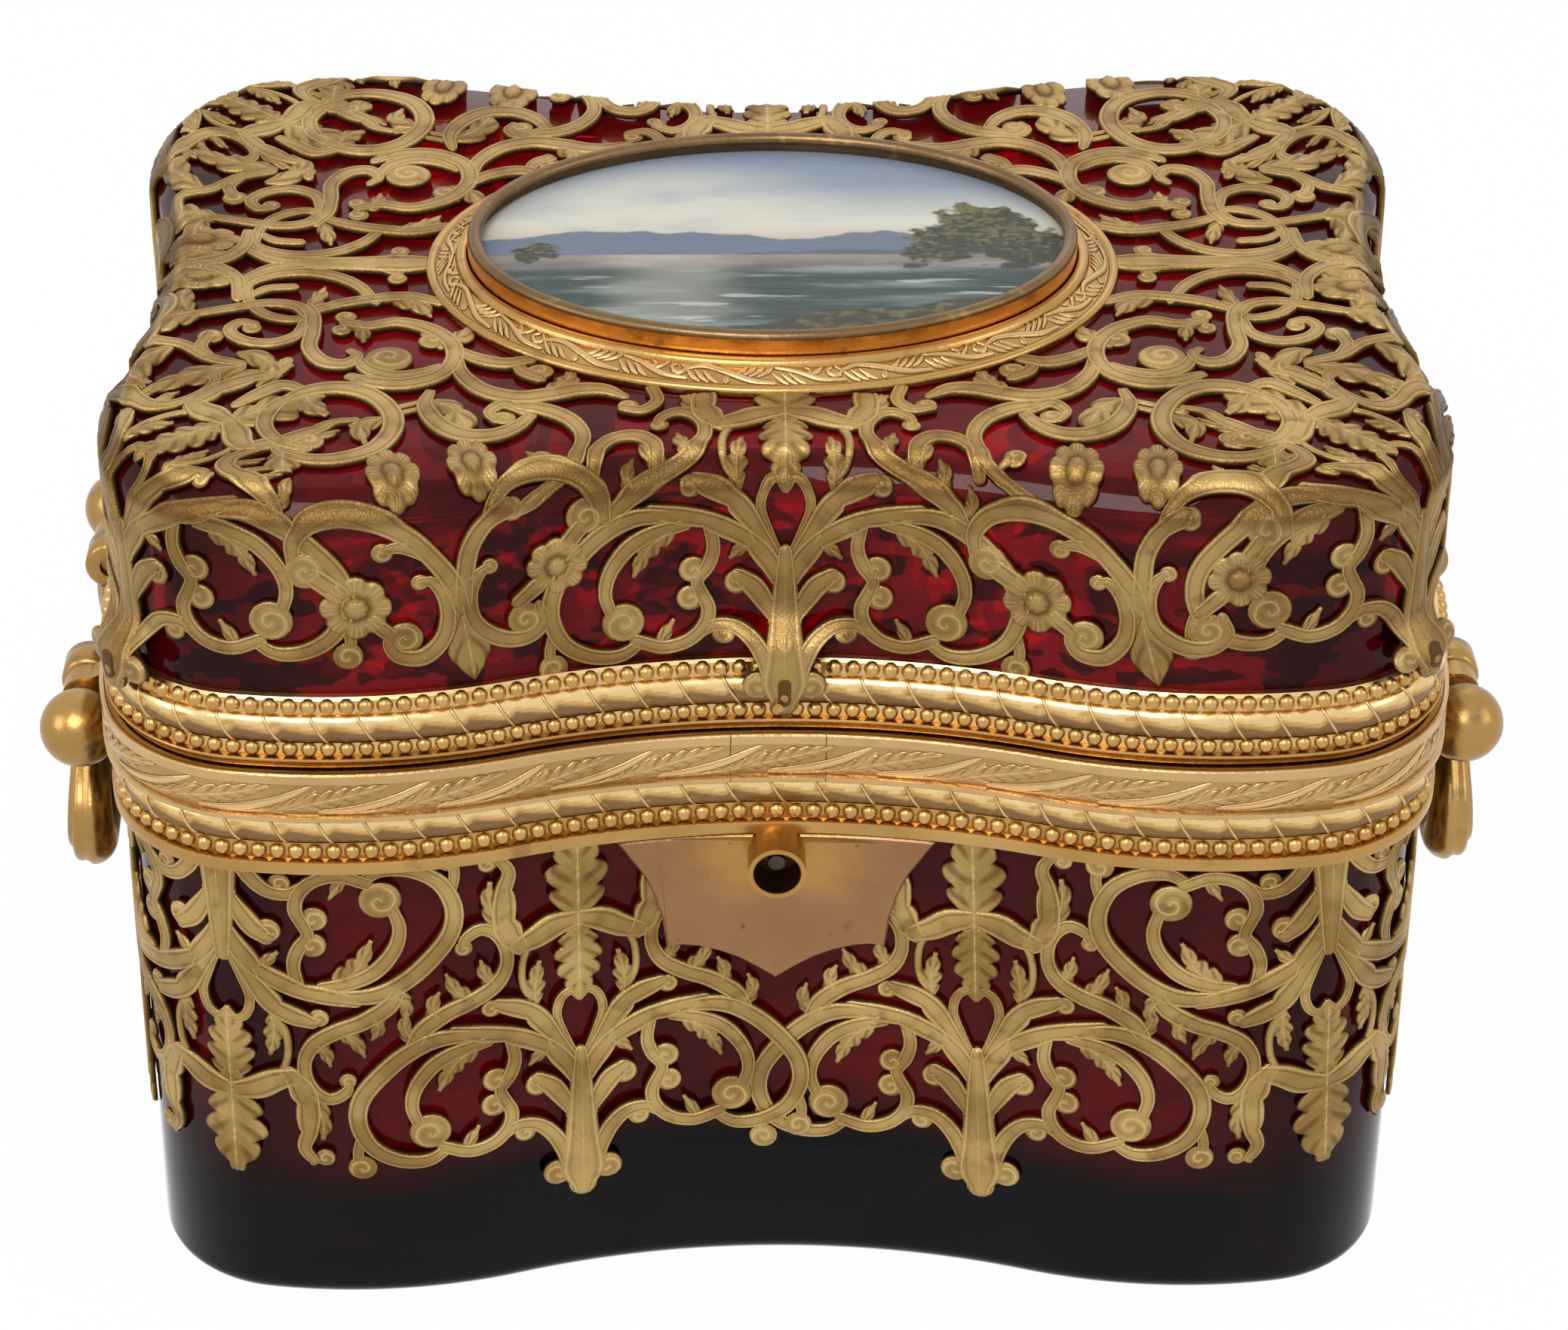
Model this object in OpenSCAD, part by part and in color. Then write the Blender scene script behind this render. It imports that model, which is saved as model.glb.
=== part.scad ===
// Glass casket with pierced gilt mounts, an oval painted plaque in the lid and two drop handles.
// Millimetres. Origin at the middle of the underside, +Z up, the lock at the front, -Y.

/* [Plan] */
// Half the width, across the side lobes
half_width = 70; // [69:0.5:73]
// Half the depth, across the front lobes
half_depth = 50; // [49.5:0.5:52]
// How far each front lobe's centre lies from the middle
front_lobe_x = 47; // [46:0.5:48]
// How far each side lobe's centre lies from the middle
side_lobe_y = 29; // [28.5:0.5:30]
// Radius of the front lobes
front_lobe_r = 60; // [58:1:64]
// Radius of the side lobes
side_lobe_r = 40; // [38:1:43]
// Radius of the four corners
corner_r = 15; // [14:0.5:17]
// Radius of the hollow in the front and the back
front_hollow_r = 90; // [85:1:100]
// Radius of the hollow in each side
side_hollow_r = 85; // [80:1:95]

/* [Glass] */
// Thickness of the glass walls
glass_wall = 5; // [4.5:0.1:5.5]
// Thickness of the base's solid floor
floor_t = 12; // [9:0.5:14]
// Rounding of the base's lower edge
foot_round = 2.4; // [1.5:0.1:3]
// Height of the lid's glass above its rim's lower edge
lid_glass_h = 30; // [29:0.5:33]
// Thickness of the lid's top
lid_top_t = 6; // [5:0.5:8]
// Width and height of the bevel round the lid's top
bevel = 2.6; // [2:0.1:3]

/* [Rims] */
// Height of the base rim's lower edge
rim_z = 59.4; // [59:0.2:62]
// Height of the plain lip under the base's beads
base_lip_h = 1.6; // [1.2:0.1:2]
// Height of the base's bead row
base_bead_h = 2; // [1.8:0.1:2.4]
// Height of each rope moulding
rope_h = 3.4; // [3:0.1:4]
// Height of the chased band
chased_h = 6; // [5.4:0.1:7]
// Gap between the two rims when the lid is shut
seam = 0.4; // [0.35:0.05:0.6]
// Height of the lid rim's lower lip
lid_lip_h = 1.2; // [1:0.1:1.4]
// Height of each of the lid's bead rows
lid_bead_h = 1.6; // [1.5:0.1:2]
// How far the chased band stands out from the glass
band_out = 2.8; // [2.6:0.1:3.2]
// How far the rope mouldings stand out from the glass
rope_out = 2.5; // [2.3:0.1:2.5]
// How far the bead rows stand out from the glass
bead_out = 2.2; // [1.9:0.1:2.2]
// Thickness of the collars' sheet metal
collar_t = 0.8; // [0.6:0.1:1]
// Depth of the collars' inner skirts
skirt_h = 7; // [5:0.5:8]

/* [Pierced mounts] */
// Thickness of the pierced mounts
mount_t = 0.7; // [0.6:0.05:0.9]
// Gap between a mount and the glass behind it
mount_gap = 0.2; // [0.15:0.05:0.3]
// How far the front stems stand from the middle of the front, as a share of a quarter of the outline
front_stem_share = 0.198; // [0.195:0.001:0.202]
// How far the side stems stand from the middle of the side, as a share of a quarter of the outline
side_stem_share = 0.163; // [0.16:0.001:0.167]
// How far the base's corner stems stand from the middle of the front, as a share of a quarter of the outline
corner_stem_share = 0.529; // [0.525:0.001:0.533]
// How far the lid's corner stems stand from the middle of the front, as a share of a quarter of the outline
lid_corner_share = 0.594; // [0.59:0.001:0.6]
// How far the left flower mount stands from the middle of the front, as a share of a quarter of the outline
left_flower_share = 0.3; // [0.297:0.001:0.303]
// How far the right flower mount stands from the middle of the front, as a share of a quarter of the outline
right_flower_share = 0.316; // [0.312:0.001:0.318]

/* [Medallion] */
// Half the length of the chased border
border_a = 37.9; // [37:0.1:38.2]
// Half the width of the chased border
border_b = 29.5; // [29:0.1:29.7]
// Half the length of the bezel
bezel_a = 33.3; // [32:0.1:33.6]
// Half the width of the bezel
bezel_b = 24.5; // [23:0.1:24.8]
// Height of the bezel's polished band
bezel_h = 4; // [3.6:0.1:5]
// Thickness of the bezel's band
bezel_t = 0.6; // [0.5:0.05:0.8]
// Width of the bezel's rolled rim
bezel_rim_w = 2; // [1.8:0.1:2.4]
// Thickness of the painted plaque
plaque_t = 1.3; // [1:0.1:1.5]
// Thickness of the cover glass
cover_t = 1.1; // [0.9:0.05:1.2]

/* [Lock] */
// Half the width of the lock plate's top
plate_top_w = 17.6; // [16.5:0.1:18]
// Height of the lock plate
plate_h = 19.2; // [18:0.1:20]
// Thickness of the lock plate
plate_t = 0.9; // [0.7:0.05:1.1]
// Outer radius of the key barrel
barrel_r = 3.1; // [2.9:0.05:3.3]
// Wall of the key barrel
barrel_wall = 0.6; // [0.5:0.05:0.7]
// How far the key barrel stands out of the lock plate
barrel_out = 4.6; // [3.5:0.1:5.5]
// Radius of the drill pin inside the barrel
drill_pin_r = 0.9; // [0.7:0.05:1.1]
// How far the drill pin's end lies inside the barrel's mouth
drill_pin_in = 2.1; // [1:0.1:3]
// How far the key barrel's axis lies below the rim
barrel_drop = 2.1; // [1.8:0.1:3]
// Width of the lock case
case_w = 24; // [22:0.5:28]
// Depth of the lock case
case_d = 7.5; // [7:0.1:8]
// Travel of the lock's bolt
bolt_travel = 4; // [3.5:0.1:4.5]

/* [Hinges] */
// Length of each hinge
hinge_w = 14; // [12:0.5:15]
// Radius of the hinge knuckles
knuckle_r = 1.6; // [1.5:0.05:1.8]
// Radius of the hinge pins
hinge_pin_r = 0.75; // [0.7:0.01:0.85]
// Running clearance on every pin's radius
fit = 0.05; // [0.03:0.01:0.08]

/* [Handles] */
// How far the handles' pivots stand outside the side lobes
pivot_out = 6.5; // [6:0.1:8]
// Height of the handles' pivots above the rim's lower edge
pivot_up = 0.6; // [0.4:0.1:1.5]
// Radius of the ball ends
ball_r = 4.4; // [4:0.1:4.6]
// How far each ball's centre lies from the handle's middle
ball_y = 24; // [24:0.1:25]
// Radius of the handle's bar
bail_r = 2.7; // [2.4:0.1:2.8]
// How far the handle's bar hangs below its pivots
bail_drop = 19.5; // [18.5:0.1:21]
// Radius of the handles' pivot pins
pivot_r = 1.25; // [1.1:0.05:1.3]

/* [Hidden] */

gilt = "#c9a24a";
pale_gilt = "#c8ab62";
worn_brass = "#b98d5c";
ruby = "#4a0f18";
clear = "#cfe0e0";
steel = "#7d7a75";

// The outline is five arcs a quarter, each tangent to the next
c_front_lobe = [front_lobe_x, front_lobe_r - half_depth];
c_side_lobe = [half_width - side_lobe_r, -side_lobe_y];
r_f = front_lobe_r - corner_r;
r_s = side_lobe_r - corner_r;
lobe_gap = norm(c_side_lobe - c_front_lobe);
lobe_dir = (c_side_lobe - c_front_lobe) / lobe_gap;
lobe_along = (r_f * r_f - r_s * r_s + lobe_gap * lobe_gap) / (2 * lobe_gap);
lobe_across = sqrt(r_f * r_f - lobe_along * lobe_along);
c_corner = c_front_lobe + lobe_along * lobe_dir + lobe_across * [-lobe_dir.y, lobe_dir.x];
c_front_hollow = [0, c_front_lobe.y - sqrt(pow(front_lobe_r + front_hollow_r, 2) - pow(front_lobe_x, 2))];
c_side_hollow = [c_side_lobe.x + sqrt(pow(side_lobe_r + side_hollow_r, 2) - pow(side_lobe_y, 2)), 0];
function heading(a, b) = atan2(b.y - a.y, b.x - a.x);
a_hollow = heading(c_front_hollow, c_front_lobe);
a_front = heading(c_front_lobe, c_corner);
a_side = heading(c_side_lobe, c_corner);
a_flank = heading(c_side_lobe, c_side_hollow);
arcs = [
    [c_front_hollow, front_hollow_r, -1, 90, a_hollow, 6],
    [c_front_lobe, front_lobe_r, 1, a_hollow - 180, a_front, 6],
    [c_corner, corner_r, 1, a_front, a_side, 6],
    [c_side_lobe, side_lobe_r, 1, a_side, a_flank, 4],
    [c_side_hollow, side_hollow_r, -1, a_flank + 180, 180, 4]];
function arc_len(k) = arcs[k][1] * abs(arcs[k][4] - arcs[k][3]) * PI / 180;
function len_to(k) = k == 0 ? 0 : len_to(k - 1) + arc_len(k - 1);
quarter_len = len_to(5);
half_round = 2 * quarter_len;

// The pierced mounts are drawn for this plan, and follow it when it changes
drawn_quarter = 113.5;
drawn_half_width = 70;
drawn_half_depth = 50;
fit_k = quarter_len / drawn_quarter;
fit_x = half_width / drawn_half_width;
fit_y = half_depth / drawn_half_depth;
front_stem_u = front_stem_share * quarter_len;
side_stem_u = side_stem_share * quarter_len;
corner_stem_u = corner_stem_share * quarter_len;
lid_corner_u = lid_corner_share * quarter_len;
left_flower_u = left_flower_share * quarter_len;
right_flower_u = right_flower_share * quarter_len;

// A point of arc k, a share t of the way along it, d outside the glass
function arc_pt(k, t, d) = let (a = arcs[k][3] + (arcs[k][4] - arcs[k][3]) * t)
    arcs[k][0] + (arcs[k][1] + arcs[k][2] * d) * [cos(a), sin(a)];
function quarter(d) = [for (k = [0 : 4]) for (i = [0 : arcs[k][5] - 1]) arc_pt(k, i / arcs[k][5], d)];
function outline(d) = let (
        q = quarter(d),
        n = len(q),
        end = arc_pt(4, 1, d),
        back = concat([end], [for (i = [n - 1 : -1 : 1]) q[i]]))
    concat(q, [for (p = back) [p.x, -p.y]], [for (p = q) [-p.x, -p.y]], [for (p = back) [-p.x, p.y]]);

// A point d outside the glass, a distance u round the outline from the middle of the front
function quarter_pt(u, d) = let (k = u >= len_to(4) ? 4 : u >= len_to(3) ? 3 : u >= len_to(2) ? 2 : u >= len_to(1) ? 1 : 0)
    arc_pt(k, (u - len_to(k)) / arc_len(k), d);
function wall_pt(u, d) = let (
        v = u < 0 ? u + 4 * quarter_len : u,
        k = floor(v / quarter_len),
        r = v - k * quarter_len,
        p = quarter_pt(k % 2 == 0 ? r : quarter_len - r, d))
    [(k == 0 || k == 1) ? p.x : -p.x, (k == 0 || k == 3) ? p.y : -p.y];
function wall_turn(u) = heading(wall_pt(u, 0), wall_pt(u, 1)) + 90;
function both_sides(pts, k = 1) = concat([for (p = pts) [p.x * k, p.y]],
    [for (i = [len(pts) - 1 : -1 : 0]) [-pts[i].x * k, pts[i].y]]);
function ellipse(a, b) = [for (i = [0 : 63]) let (t = i * 360 / 64) [a * cos(t), b * sin(t)]];

// Heights, from the floor up
bead_z = rim_z + base_lip_h;
rope_z = bead_z + base_bead_h;
chased_z = rope_z + rope_h;
seam_z = chased_z + chased_h;
lid_z = seam_z + seam;
lid_bead_z = lid_z + lid_lip_h;
lid_rope_z = lid_bead_z + lid_bead_h;
lid_bead2_z = lid_rope_z + rope_h;
lid_rim_top = lid_bead2_z + lid_bead_h + 0.3;
glass_z = lid_bead_z + 0.1;
top_z = lid_z + lid_lip_h + lid_glass_h;
bevel_z = top_z - bevel;
skin = 0.1;
skirt_d = -glass_wall - 0.2;

module slab(d, z0, z1) translate([0, 0, z0]) linear_extrude(z1 - z0) polygon(outline(d));
module ring(d_in, d_out, z0, z1) translate([0, 0, z0]) linear_extrude(z1 - z0) difference() {
    polygon(outline(d_out));
    polygon(outline(d_in));
}

// A closed solid through outlines at given heights: levels is a list of [height, distance outside the glass]
module loft(levels) {
    n = len(outline(0));
    m = len(levels);
    pts = [for (l = levels) for (p = outline(l[1])) [p.x, p.y, l[0]]];
    sides = [for (j = [0 : m - 2]) for (i = [0 : n - 1])
        [j * n + i, (j + 1) * n + i, (j + 1) * n + (i + 1) % n, j * n + (i + 1) % n]];
    polyhedron(pts, concat(sides, [[for (i = [0 : n - 1]) i]], [[for (i = [n - 1 : -1 : 0]) (m - 1) * n + i]]));
}

// Places a flat shape upright against the wall: its x runs round the box, its y upwards, its z outwards
module at_wall(u) translate(wall_pt(u, 0)) rotate([0, 0, wall_turn(u)]) rotate([90, 0, 0]) children();

// A length of the wall's skin, bent to the outline
module wall_skin(u0, u1, z0, z1, d0, d1) {
    run = [for (i = [0 : 16]) u0 + (u1 - u0) * i / 16];
    translate([0, 0, z0]) linear_extrude(z1 - z0) polygon(concat(
        [for (v = run) wall_pt(v, d1)],
        [for (i = [len(run) - 1 : -1 : 0]) wall_pt(run[i], d0)]));
}

module hoop(x, y, r, w, shift = 0) translate([x, y]) difference() {
    circle(r, $fn = 40);
    translate([shift, 0]) circle(r - w, $fn = 40);
}
module mirrored() {
    children();
    mirror([1, 0]) children();
}

// The palmette mount, drawn flat with its foot at the bottom; k narrows it where it wraps a corner
palmette_foot = 11.7;
module palmette(k = 1) {
    polygon(both_sides([[0.6, 11.7], [1.5, 12.6], [1.6, 13.9], [3.4, 14.4], [3.6, 16.2], [2.4, 17.6],
        [2, 20], [2.2, 23], [1.6, 26.5], [0.9, 29], [0.5, 31.5]], k));
    polygon(both_sides([[0.5, 38.8], [1.6, 41], [2.5, 43.6], [2.2, 46], [0.9, 48.2], [2, 50.5],
        [2.9, 54.5], [2.5, 57.5], [0.8, 58.8]], k));
    hoop(0, 44.8, 6.6 * k, 1.1);
    mirrored() {
        polygon([[0.2 * k, 31], [2.6 * k, 36.2], [2.6 * k, 38.2], [1.6 * k, 40.4], [0.5 * k, 40.2],
            [1.6 * k, 38], [1.6 * k, 36.6], [-0.4 * k, 32]]);
        polygon([[0.6 * k, 28.6], [5.4 * k, 32.8], [10.5 * k, 34.6], [12.4 * k, 36], [10.5 * k, 37],
            [5 * k, 35], [0.2 * k, 31]]);
        polygon([[1.6 * k, 33.4], [4.6 * k, 36.8], [7 * k, 39], [9.6 * k, 39.4], [9.8 * k, 41.2],
            [6.6 * k, 41], [3 * k, 40.2], [0.8 * k, 34.4]]);
        polygon([[1.8 * k, 18.6], [3.6 * k, 21], [6.4 * k, 22.4], [9.6 * k, 22.6], [9.6 * k, 24.2],
            [6 * k, 24.2], [3 * k, 22.8], [1.2 * k, 21]]);
        polygon([[2.4 * k, 23.6], [4 * k, 26.2], [6 * k, 27.2], [6.2 * k, 28.9], [4.4 * k, 28.6],
            [2.6 * k, 27], [1.2 * k, 24.6]]);
        hoop(15.8 * k, 28.6, 8.6 * k, 1.5, -0.3);
        hoop(15.3 * k, 31.3, 4.6 * k, 1);
        translate([17.2 * k, 23.4]) circle(2.3 * k, $fn = 24);
        translate([9.2 * k, 30.2]) circle(1.6 * k, $fn = 24);
        translate([9.2 * k, 26.8]) circle(1.6 * k, $fn = 24);
        polygon([[5.4 * k, 46], [8 * k, 47.6], [9.3 * k, 50.4], [9.3 * k, 53.4], [7.6 * k, 55],
            [6.8 * k, 53.4], [7.2 * k, 50.6], [4.6 * k, 49]]);
    }
}

// The flower mount, drawn flat: a hanging leaf, two curls and two flowers
module flower_mount() {
    polygon(both_sides([[0.4, 82.4], [1.6, 84.6], [1.4, 87], [0.8, 89.6], [0.9, 93.6]]));
    mirrored() {
        hoop(4.6, 89.6, 4.1, 1.1);
        polygon([[0.2, 92.4], [1.4, 92.4], [6.4, 99], [8, 103], [6, 103], [4.6, 99.6]]);
        translate([5.8, 95.6]) circle(2.6, $fn = 24);
    }
}

corner_k = 0.82;
lid_corner_k = 0.72;
base_mirror_z = rim_z + 19.6;
mount_reach = 30 * fit_k;
module corner_mount(u) color(pale_gilt) intersection() {
    wall_skin(u - mount_reach, u + mount_reach, palmette_foot - 2, rim_z - mount_gap, mount_gap, mount_gap + mount_t);
    at_wall(u) translate([0, 0, -16]) linear_extrude(32)
        translate([0, base_mirror_z]) mirror([0, 1]) palmette(corner_k * fit_k);
}
// A mount whose inner scroll stops where its neighbour's starts; side is 1 where that is at its right
module paired_mount(u, room, side) color(pale_gilt) intersection() {
    wall_skin(u - (side < 0 ? room - 0.2 : mount_reach), u + (side > 0 ? room - 0.2 : mount_reach),
        palmette_foot - 2, rim_z - mount_gap, mount_gap, mount_gap + mount_t);
    at_wall(u) translate([0, 0, -16]) linear_extrude(32) palmette(fit_k);
}

// A tongue of a mount folded over the lid's bevel, w wide, s along from the mount's middle
module fold(u, s, w) {
    g = mount_gap;
    t = mount_gap + mount_t;
    k = tan(22.5);
    translate(wall_pt(u + s, 0)) rotate([0, 0, wall_turn(u + s)]) translate([-w / 2, 0, 0])
        rotate([90, 0, 90]) linear_extrude(w) polygon([[-g, bevel_z - 2], [-t, bevel_z - 2], [-t, bevel_z + t * k],
            [bevel - t * k, top_z + t], [bevel + 3, top_z + t], [bevel + 3, top_z + g],
            [bevel - g * k, top_z + g], [-g, bevel_z + g * k]]);
}
// A flat shape laid on the lid's top: its x runs along the edge, its y inwards from the wall
module on_top(u) translate(concat(wall_pt(u, 0), [top_z + mount_gap])) rotate([0, 0, wall_turn(u)])
    linear_extrude(mount_t) children();

lid_stem_z = lid_bead_z - 0.6 - palmette_foot;
pin_r = 0.55;
module mount_pin(u, r) at_wall(u) translate([0, lid_stem_z + palmette_foot + 3.4, rope_out - 1]) cylinder(r = r, h = 3, $fn = 24);
module lid_palmette(u, k = 1, reach = 8) color(pale_gilt) {
    intersection() {
        wall_skin(u - mount_reach, u + mount_reach, lid_rim_top + 0.4, bevel_z, mount_gap, mount_gap + mount_t);
        at_wall(u) translate([0, 0, -16]) linear_extrude(32) translate([0, lid_stem_z]) palmette(k * fit_k);
    }
    // the foot is bent outwards to lie over the rim
    difference() {
        intersection() {
            wall_skin(u - 8, u + 8, lid_bead_z - 0.6, lid_rim_top + 0.4,
                band_out + mount_gap, band_out + mount_gap + mount_t);
            at_wall(u) translate([0, 0, -16]) linear_extrude(32) translate([0, lid_stem_z]) palmette(k * fit_k);
        }
        mount_pin(u, pin_r + fit);
    }
    intersection() {
        wall_skin(u - 8, u + 8, lid_rim_top + 0.3, lid_rim_top + 1.1, mount_gap, band_out + mount_gap + mount_t);
        at_wall(u) translate([0, 0, -16]) linear_extrude(32) translate([-2, 0]) square([4, 120]);
    }
    fold(u, 0, 3);
    for (s = [-5.4, 5.4]) fold(u, s * k, 2.4);
    on_top(u) {
        intersection() {
            translate([0, bevel + 1.3]) circle(6.6 * k, $fn = 40);
            translate([-9, bevel + 0.2]) square([18, 9]);
            difference() {
                translate([-9, 0]) square([18, 12]);
                translate([0, bevel + 1.3]) circle(6.6 * k - 1.4, $fn = 40);
            }
        }
        polygon(both_sides([[0.8, bevel + 0.2], [2.2, bevel + 0.3 * reach], [0.9, bevel + 0.45 * reach],
            [2.2, bevel + 0.7 * reach], [0.7, bevel + reach]], k));
    }
}

module lid_flower(u) color(pale_gilt) {
    intersection() {
        wall_skin(u - 9, u + 9, lid_rim_top + 0.4, bevel_z, mount_gap, mount_gap + mount_t);
        at_wall(u) translate([0, 0, -16]) linear_extrude(32) flower_mount();
    }
    for (s = [-6.2, 6.2]) {
        fold(u, s, 3.4);
        on_top(u + s) translate([0, bevel + 2.4]) circle(1.9, $fn = 24);
    }
}

function on_plan(pts) = [for (p = pts) [p.x * fit_x, p.y * fit_y]];
// One quarter of the pierced work on the lid's top, at the back right
module top_quarter() linear_extrude(mount_t) difference() {
    union() {
        hoop(46.3 * fit_x, 35.6 * fit_y, 7.1, 1.6);
        hoop(30.4 * fit_x, 31.8 * fit_y, 6.4, 1.5);
        hoop(26.8 * fit_x, 24.2 * fit_y, 6.5, 1.5);
        hoop(40.8 * fit_x, 19.2 * fit_y, 6.6, 1.4);
        hoop(54 * fit_x, 10.5 * fit_y, 4.6, 1.2);
        hoop(54.6 * fit_x, 21 * fit_y, 4.4, 1.2);
        hoop(14 * fit_x, 33.2 * fit_y, 2.8, 1.1);
        translate([40.8 * fit_x, 22.3 * fit_y]) circle(2.3, $fn = 24);
        polygon(on_plan([[36, 30.2], [40.2, 30.6], [40.2, 32.6], [36, 32.4]]));
        polygon(on_plan([[31, 19], [36, 17.4], [36, 21.6], [31.5, 24]]));
        polygon(on_plan([[41.6, 24.8], [44.6, 24.4], [45.8, 30], [42.8, 30.4]]));
        polygon(on_plan([[50.6, 6], [52.4, 8.4], [51, 12], [51.4, 17.6], [49.6, 22], [46, 24.4], [44.4, 22.8],
            [47.4, 19.6], [48.4, 14], [48.6, 9]]));
        polygon(on_plan([[52, 24.2], [55.4, 24.8], [54, 31], [50.5, 32]]));
        polygon(on_plan([[51.6, 33], [56, 30.8], [61, 33], [63.4, 30.4], [64, 33.6], [60, 36.6], [56, 35.6], [52, 38.4]]));
        polygon(on_plan([[39.2, 0.2], [57.2, 0.2], [56.8, 3], [55.2, 7], [52.8, 7], [51.4, 2.2], [44, 3], [39.2, 4.6]]));
        polygon(on_plan([[57.6, 8.6], [61, 10], [62.4, 14], [61.4, 17.6], [59.4, 17], [60.2, 13.6], [57.4, 11.8]]));
        polygon(on_plan([[15.4, 31], [22.4, 27.6], [24.8, 29.4], [16, 34]]));
    }
    polygon(ellipse(border_a + 0.3, border_b + 0.3));
}
module top_mount(sx, sy) color(pale_gilt) translate([0, 0, top_z + mount_gap])
    mirror([sx < 0 ? 1 : 0, 0, 0]) mirror([0, sy < 0 ? 1 : 0, 0]) top_quarter();

// Base
module base_glass() color(ruby) difference() {
    loft([[0, -foot_round], [foot_round * 0.3, -foot_round * 0.45], [foot_round, 0], [seam_z - 1.3, 0]]);
    slab(-glass_wall, floor_t, seam_z);
    barrel_bore();
}
module base_collar() color(gilt) {
    ring(skirt_d - collar_t, bead_out, seam_z - collar_t - 0.4, seam_z);
    ring(skirt_d - collar_t, skirt_d, seam_z - skirt_h, seam_z - collar_t);
}
module base_bead_row() color(gilt) difference() {
    ring(skin, bead_out, rim_z, rope_z);
    barrel_bore();
}
module base_rope_moulding() color(gilt) ring(skin, rope_out, rope_z, chased_z);
module chased_band() color(gilt) {
    ring(skin, band_out - 0.4, chased_z, seam_z - collar_t - 0.4);
    ring(skin, band_out, chased_z, chased_z + 1);
    ring(bead_out + 0.1, band_out, seam_z - 1.4, seam_z);
}

// Lid
module lid_glass() color(ruby) difference() {
    loft([[glass_z, 0], [bevel_z, 0], [top_z, -bevel]]);
    slab(-glass_wall, glass_z - 1, top_z - lid_top_t);
}
module lid_collar() color(gilt) {
    ring(skirt_d - collar_t, bead_out, lid_z, lid_bead_z);
    ring(skirt_d - collar_t, skirt_d, lid_z + 0.4, lid_z + skirt_h);
}
module lid_lower_bead_row() color(gilt) ring(skin, bead_out, lid_bead_z, lid_rope_z);
module lid_rope_moulding() color(gilt) difference() {
    ring(skin, rope_out, lid_rope_z, lid_bead2_z);
    for (u = [0, half_round]) mount_pin(u, pin_r + fit);
}
module lid_upper_bead_row() color(gilt) ring(skin, bead_out - 0.2, lid_bead2_z, lid_rim_top);
// One pin holds each lid stem's foot against the rim
module mount_pins() color(gilt) for (u = [0, half_round]) mount_pin(u, pin_r);

// Medallion
module oval(a, b, z0, z1) translate([0, 0, z0]) linear_extrude(z1 - z0) polygon(ellipse(a, b));
module oval_ring(a, b, w, z0, z1) translate([0, 0, z0]) linear_extrude(z1 - z0) difference() {
    polygon(ellipse(a, b));
    polygon(ellipse(a - w, b - w));
}
medal_z = top_z + mount_gap;
band_top = medal_z + bezel_h;
module medallion_border() color(gilt) {
    step = (border_a - bezel_a - 0.3) / 3;
    for (i = [0 : 2]) oval_ring(border_a - i * step, border_b - i * step * (border_b - bezel_b) / (border_a - bezel_a),
        step * (3 - i) , medal_z + i * 0.6, medal_z + (i + 1) * 0.6);
}
module bezel_band() color(gilt) oval_ring(bezel_a, bezel_b, bezel_t, medal_z, band_top);
module bezel_rim() color(gilt) oval_ring(bezel_a, bezel_b, bezel_rim_w, band_top, band_top + 0.9);
module cover_glass() color(clear, 0.4)
    oval(bezel_a - bezel_t - 0.2, bezel_b - bezel_t - 0.2, band_top - cover_t - 0.05, band_top - 0.05);
module painted_plaque() color("#8fa3ad")
    oval(bezel_a - bezel_t - 0.2, bezel_b - bezel_t - 0.2, medal_z + 0.8, medal_z + 0.8 + plaque_t);
module plaque_backing() color(gilt)
    oval(bezel_a - bezel_t - 0.2, bezel_b - bezel_t - 0.2, medal_z, medal_z + 0.75);

// Lock
front_y = wall_pt(0, 0).y;
plate_d = mount_gap + mount_t + 0.3;
barrel_z = rim_z - barrel_drop;
case_y = front_y - skirt_d + collar_t + 0.25;
case_z0 = barrel_z - 5.5;
case_z1 = seam_z - 1.6;
bolt_y = case_y + 3.9;
bolt_z = seam_z - 8.2;
module barrel_bore() translate([0, 0, barrel_z]) rotate([90, 0, 0]) cylinder(r = barrel_r + fit, h = half_depth + 5);
module lock_plate() color(worn_brass) difference() {
    intersection() {
        wall_skin(-24, 24, rim_z - plate_h - 1, rim_z - mount_gap, plate_d, plate_d + plate_t);
        at_wall(0) translate([0, 0, -12]) linear_extrude(24) difference() {
            polygon(both_sides([[0.1, rim_z - plate_h], [12.2, rim_z - plate_h + 0.4 * plate_h * 0.6],
                [plate_top_w, rim_z]]));
            mirrored() {
                translate([plate_top_w + 3.4, rim_z - plate_h * 0.66]) circle(plate_h * 0.36, $fn = 48);
                translate([9.6, rim_z - plate_h * 1.33]) circle(plate_h * 0.5, $fn = 48);
            }
        }
    }
    barrel_bore();
}
module key_barrel() color(worn_brass) translate([0, case_y - 0.05, barrel_z]) rotate([90, 0, 0]) difference() {
    cylinder(r = barrel_r, h = case_y - 0.05 - front_y + plate_d + plate_t + barrel_out);
    translate([0, 0, -1]) cylinder(r = barrel_r - barrel_wall, h = 40);
}
module drill_pin() color(steel) translate([0, case_y - 0.05, barrel_z]) rotate([90, 0, 0])
    cylinder(r = drill_pin_r, h = case_y - 0.05 - front_y + plate_d + plate_t + barrel_out - drill_pin_in);
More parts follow.
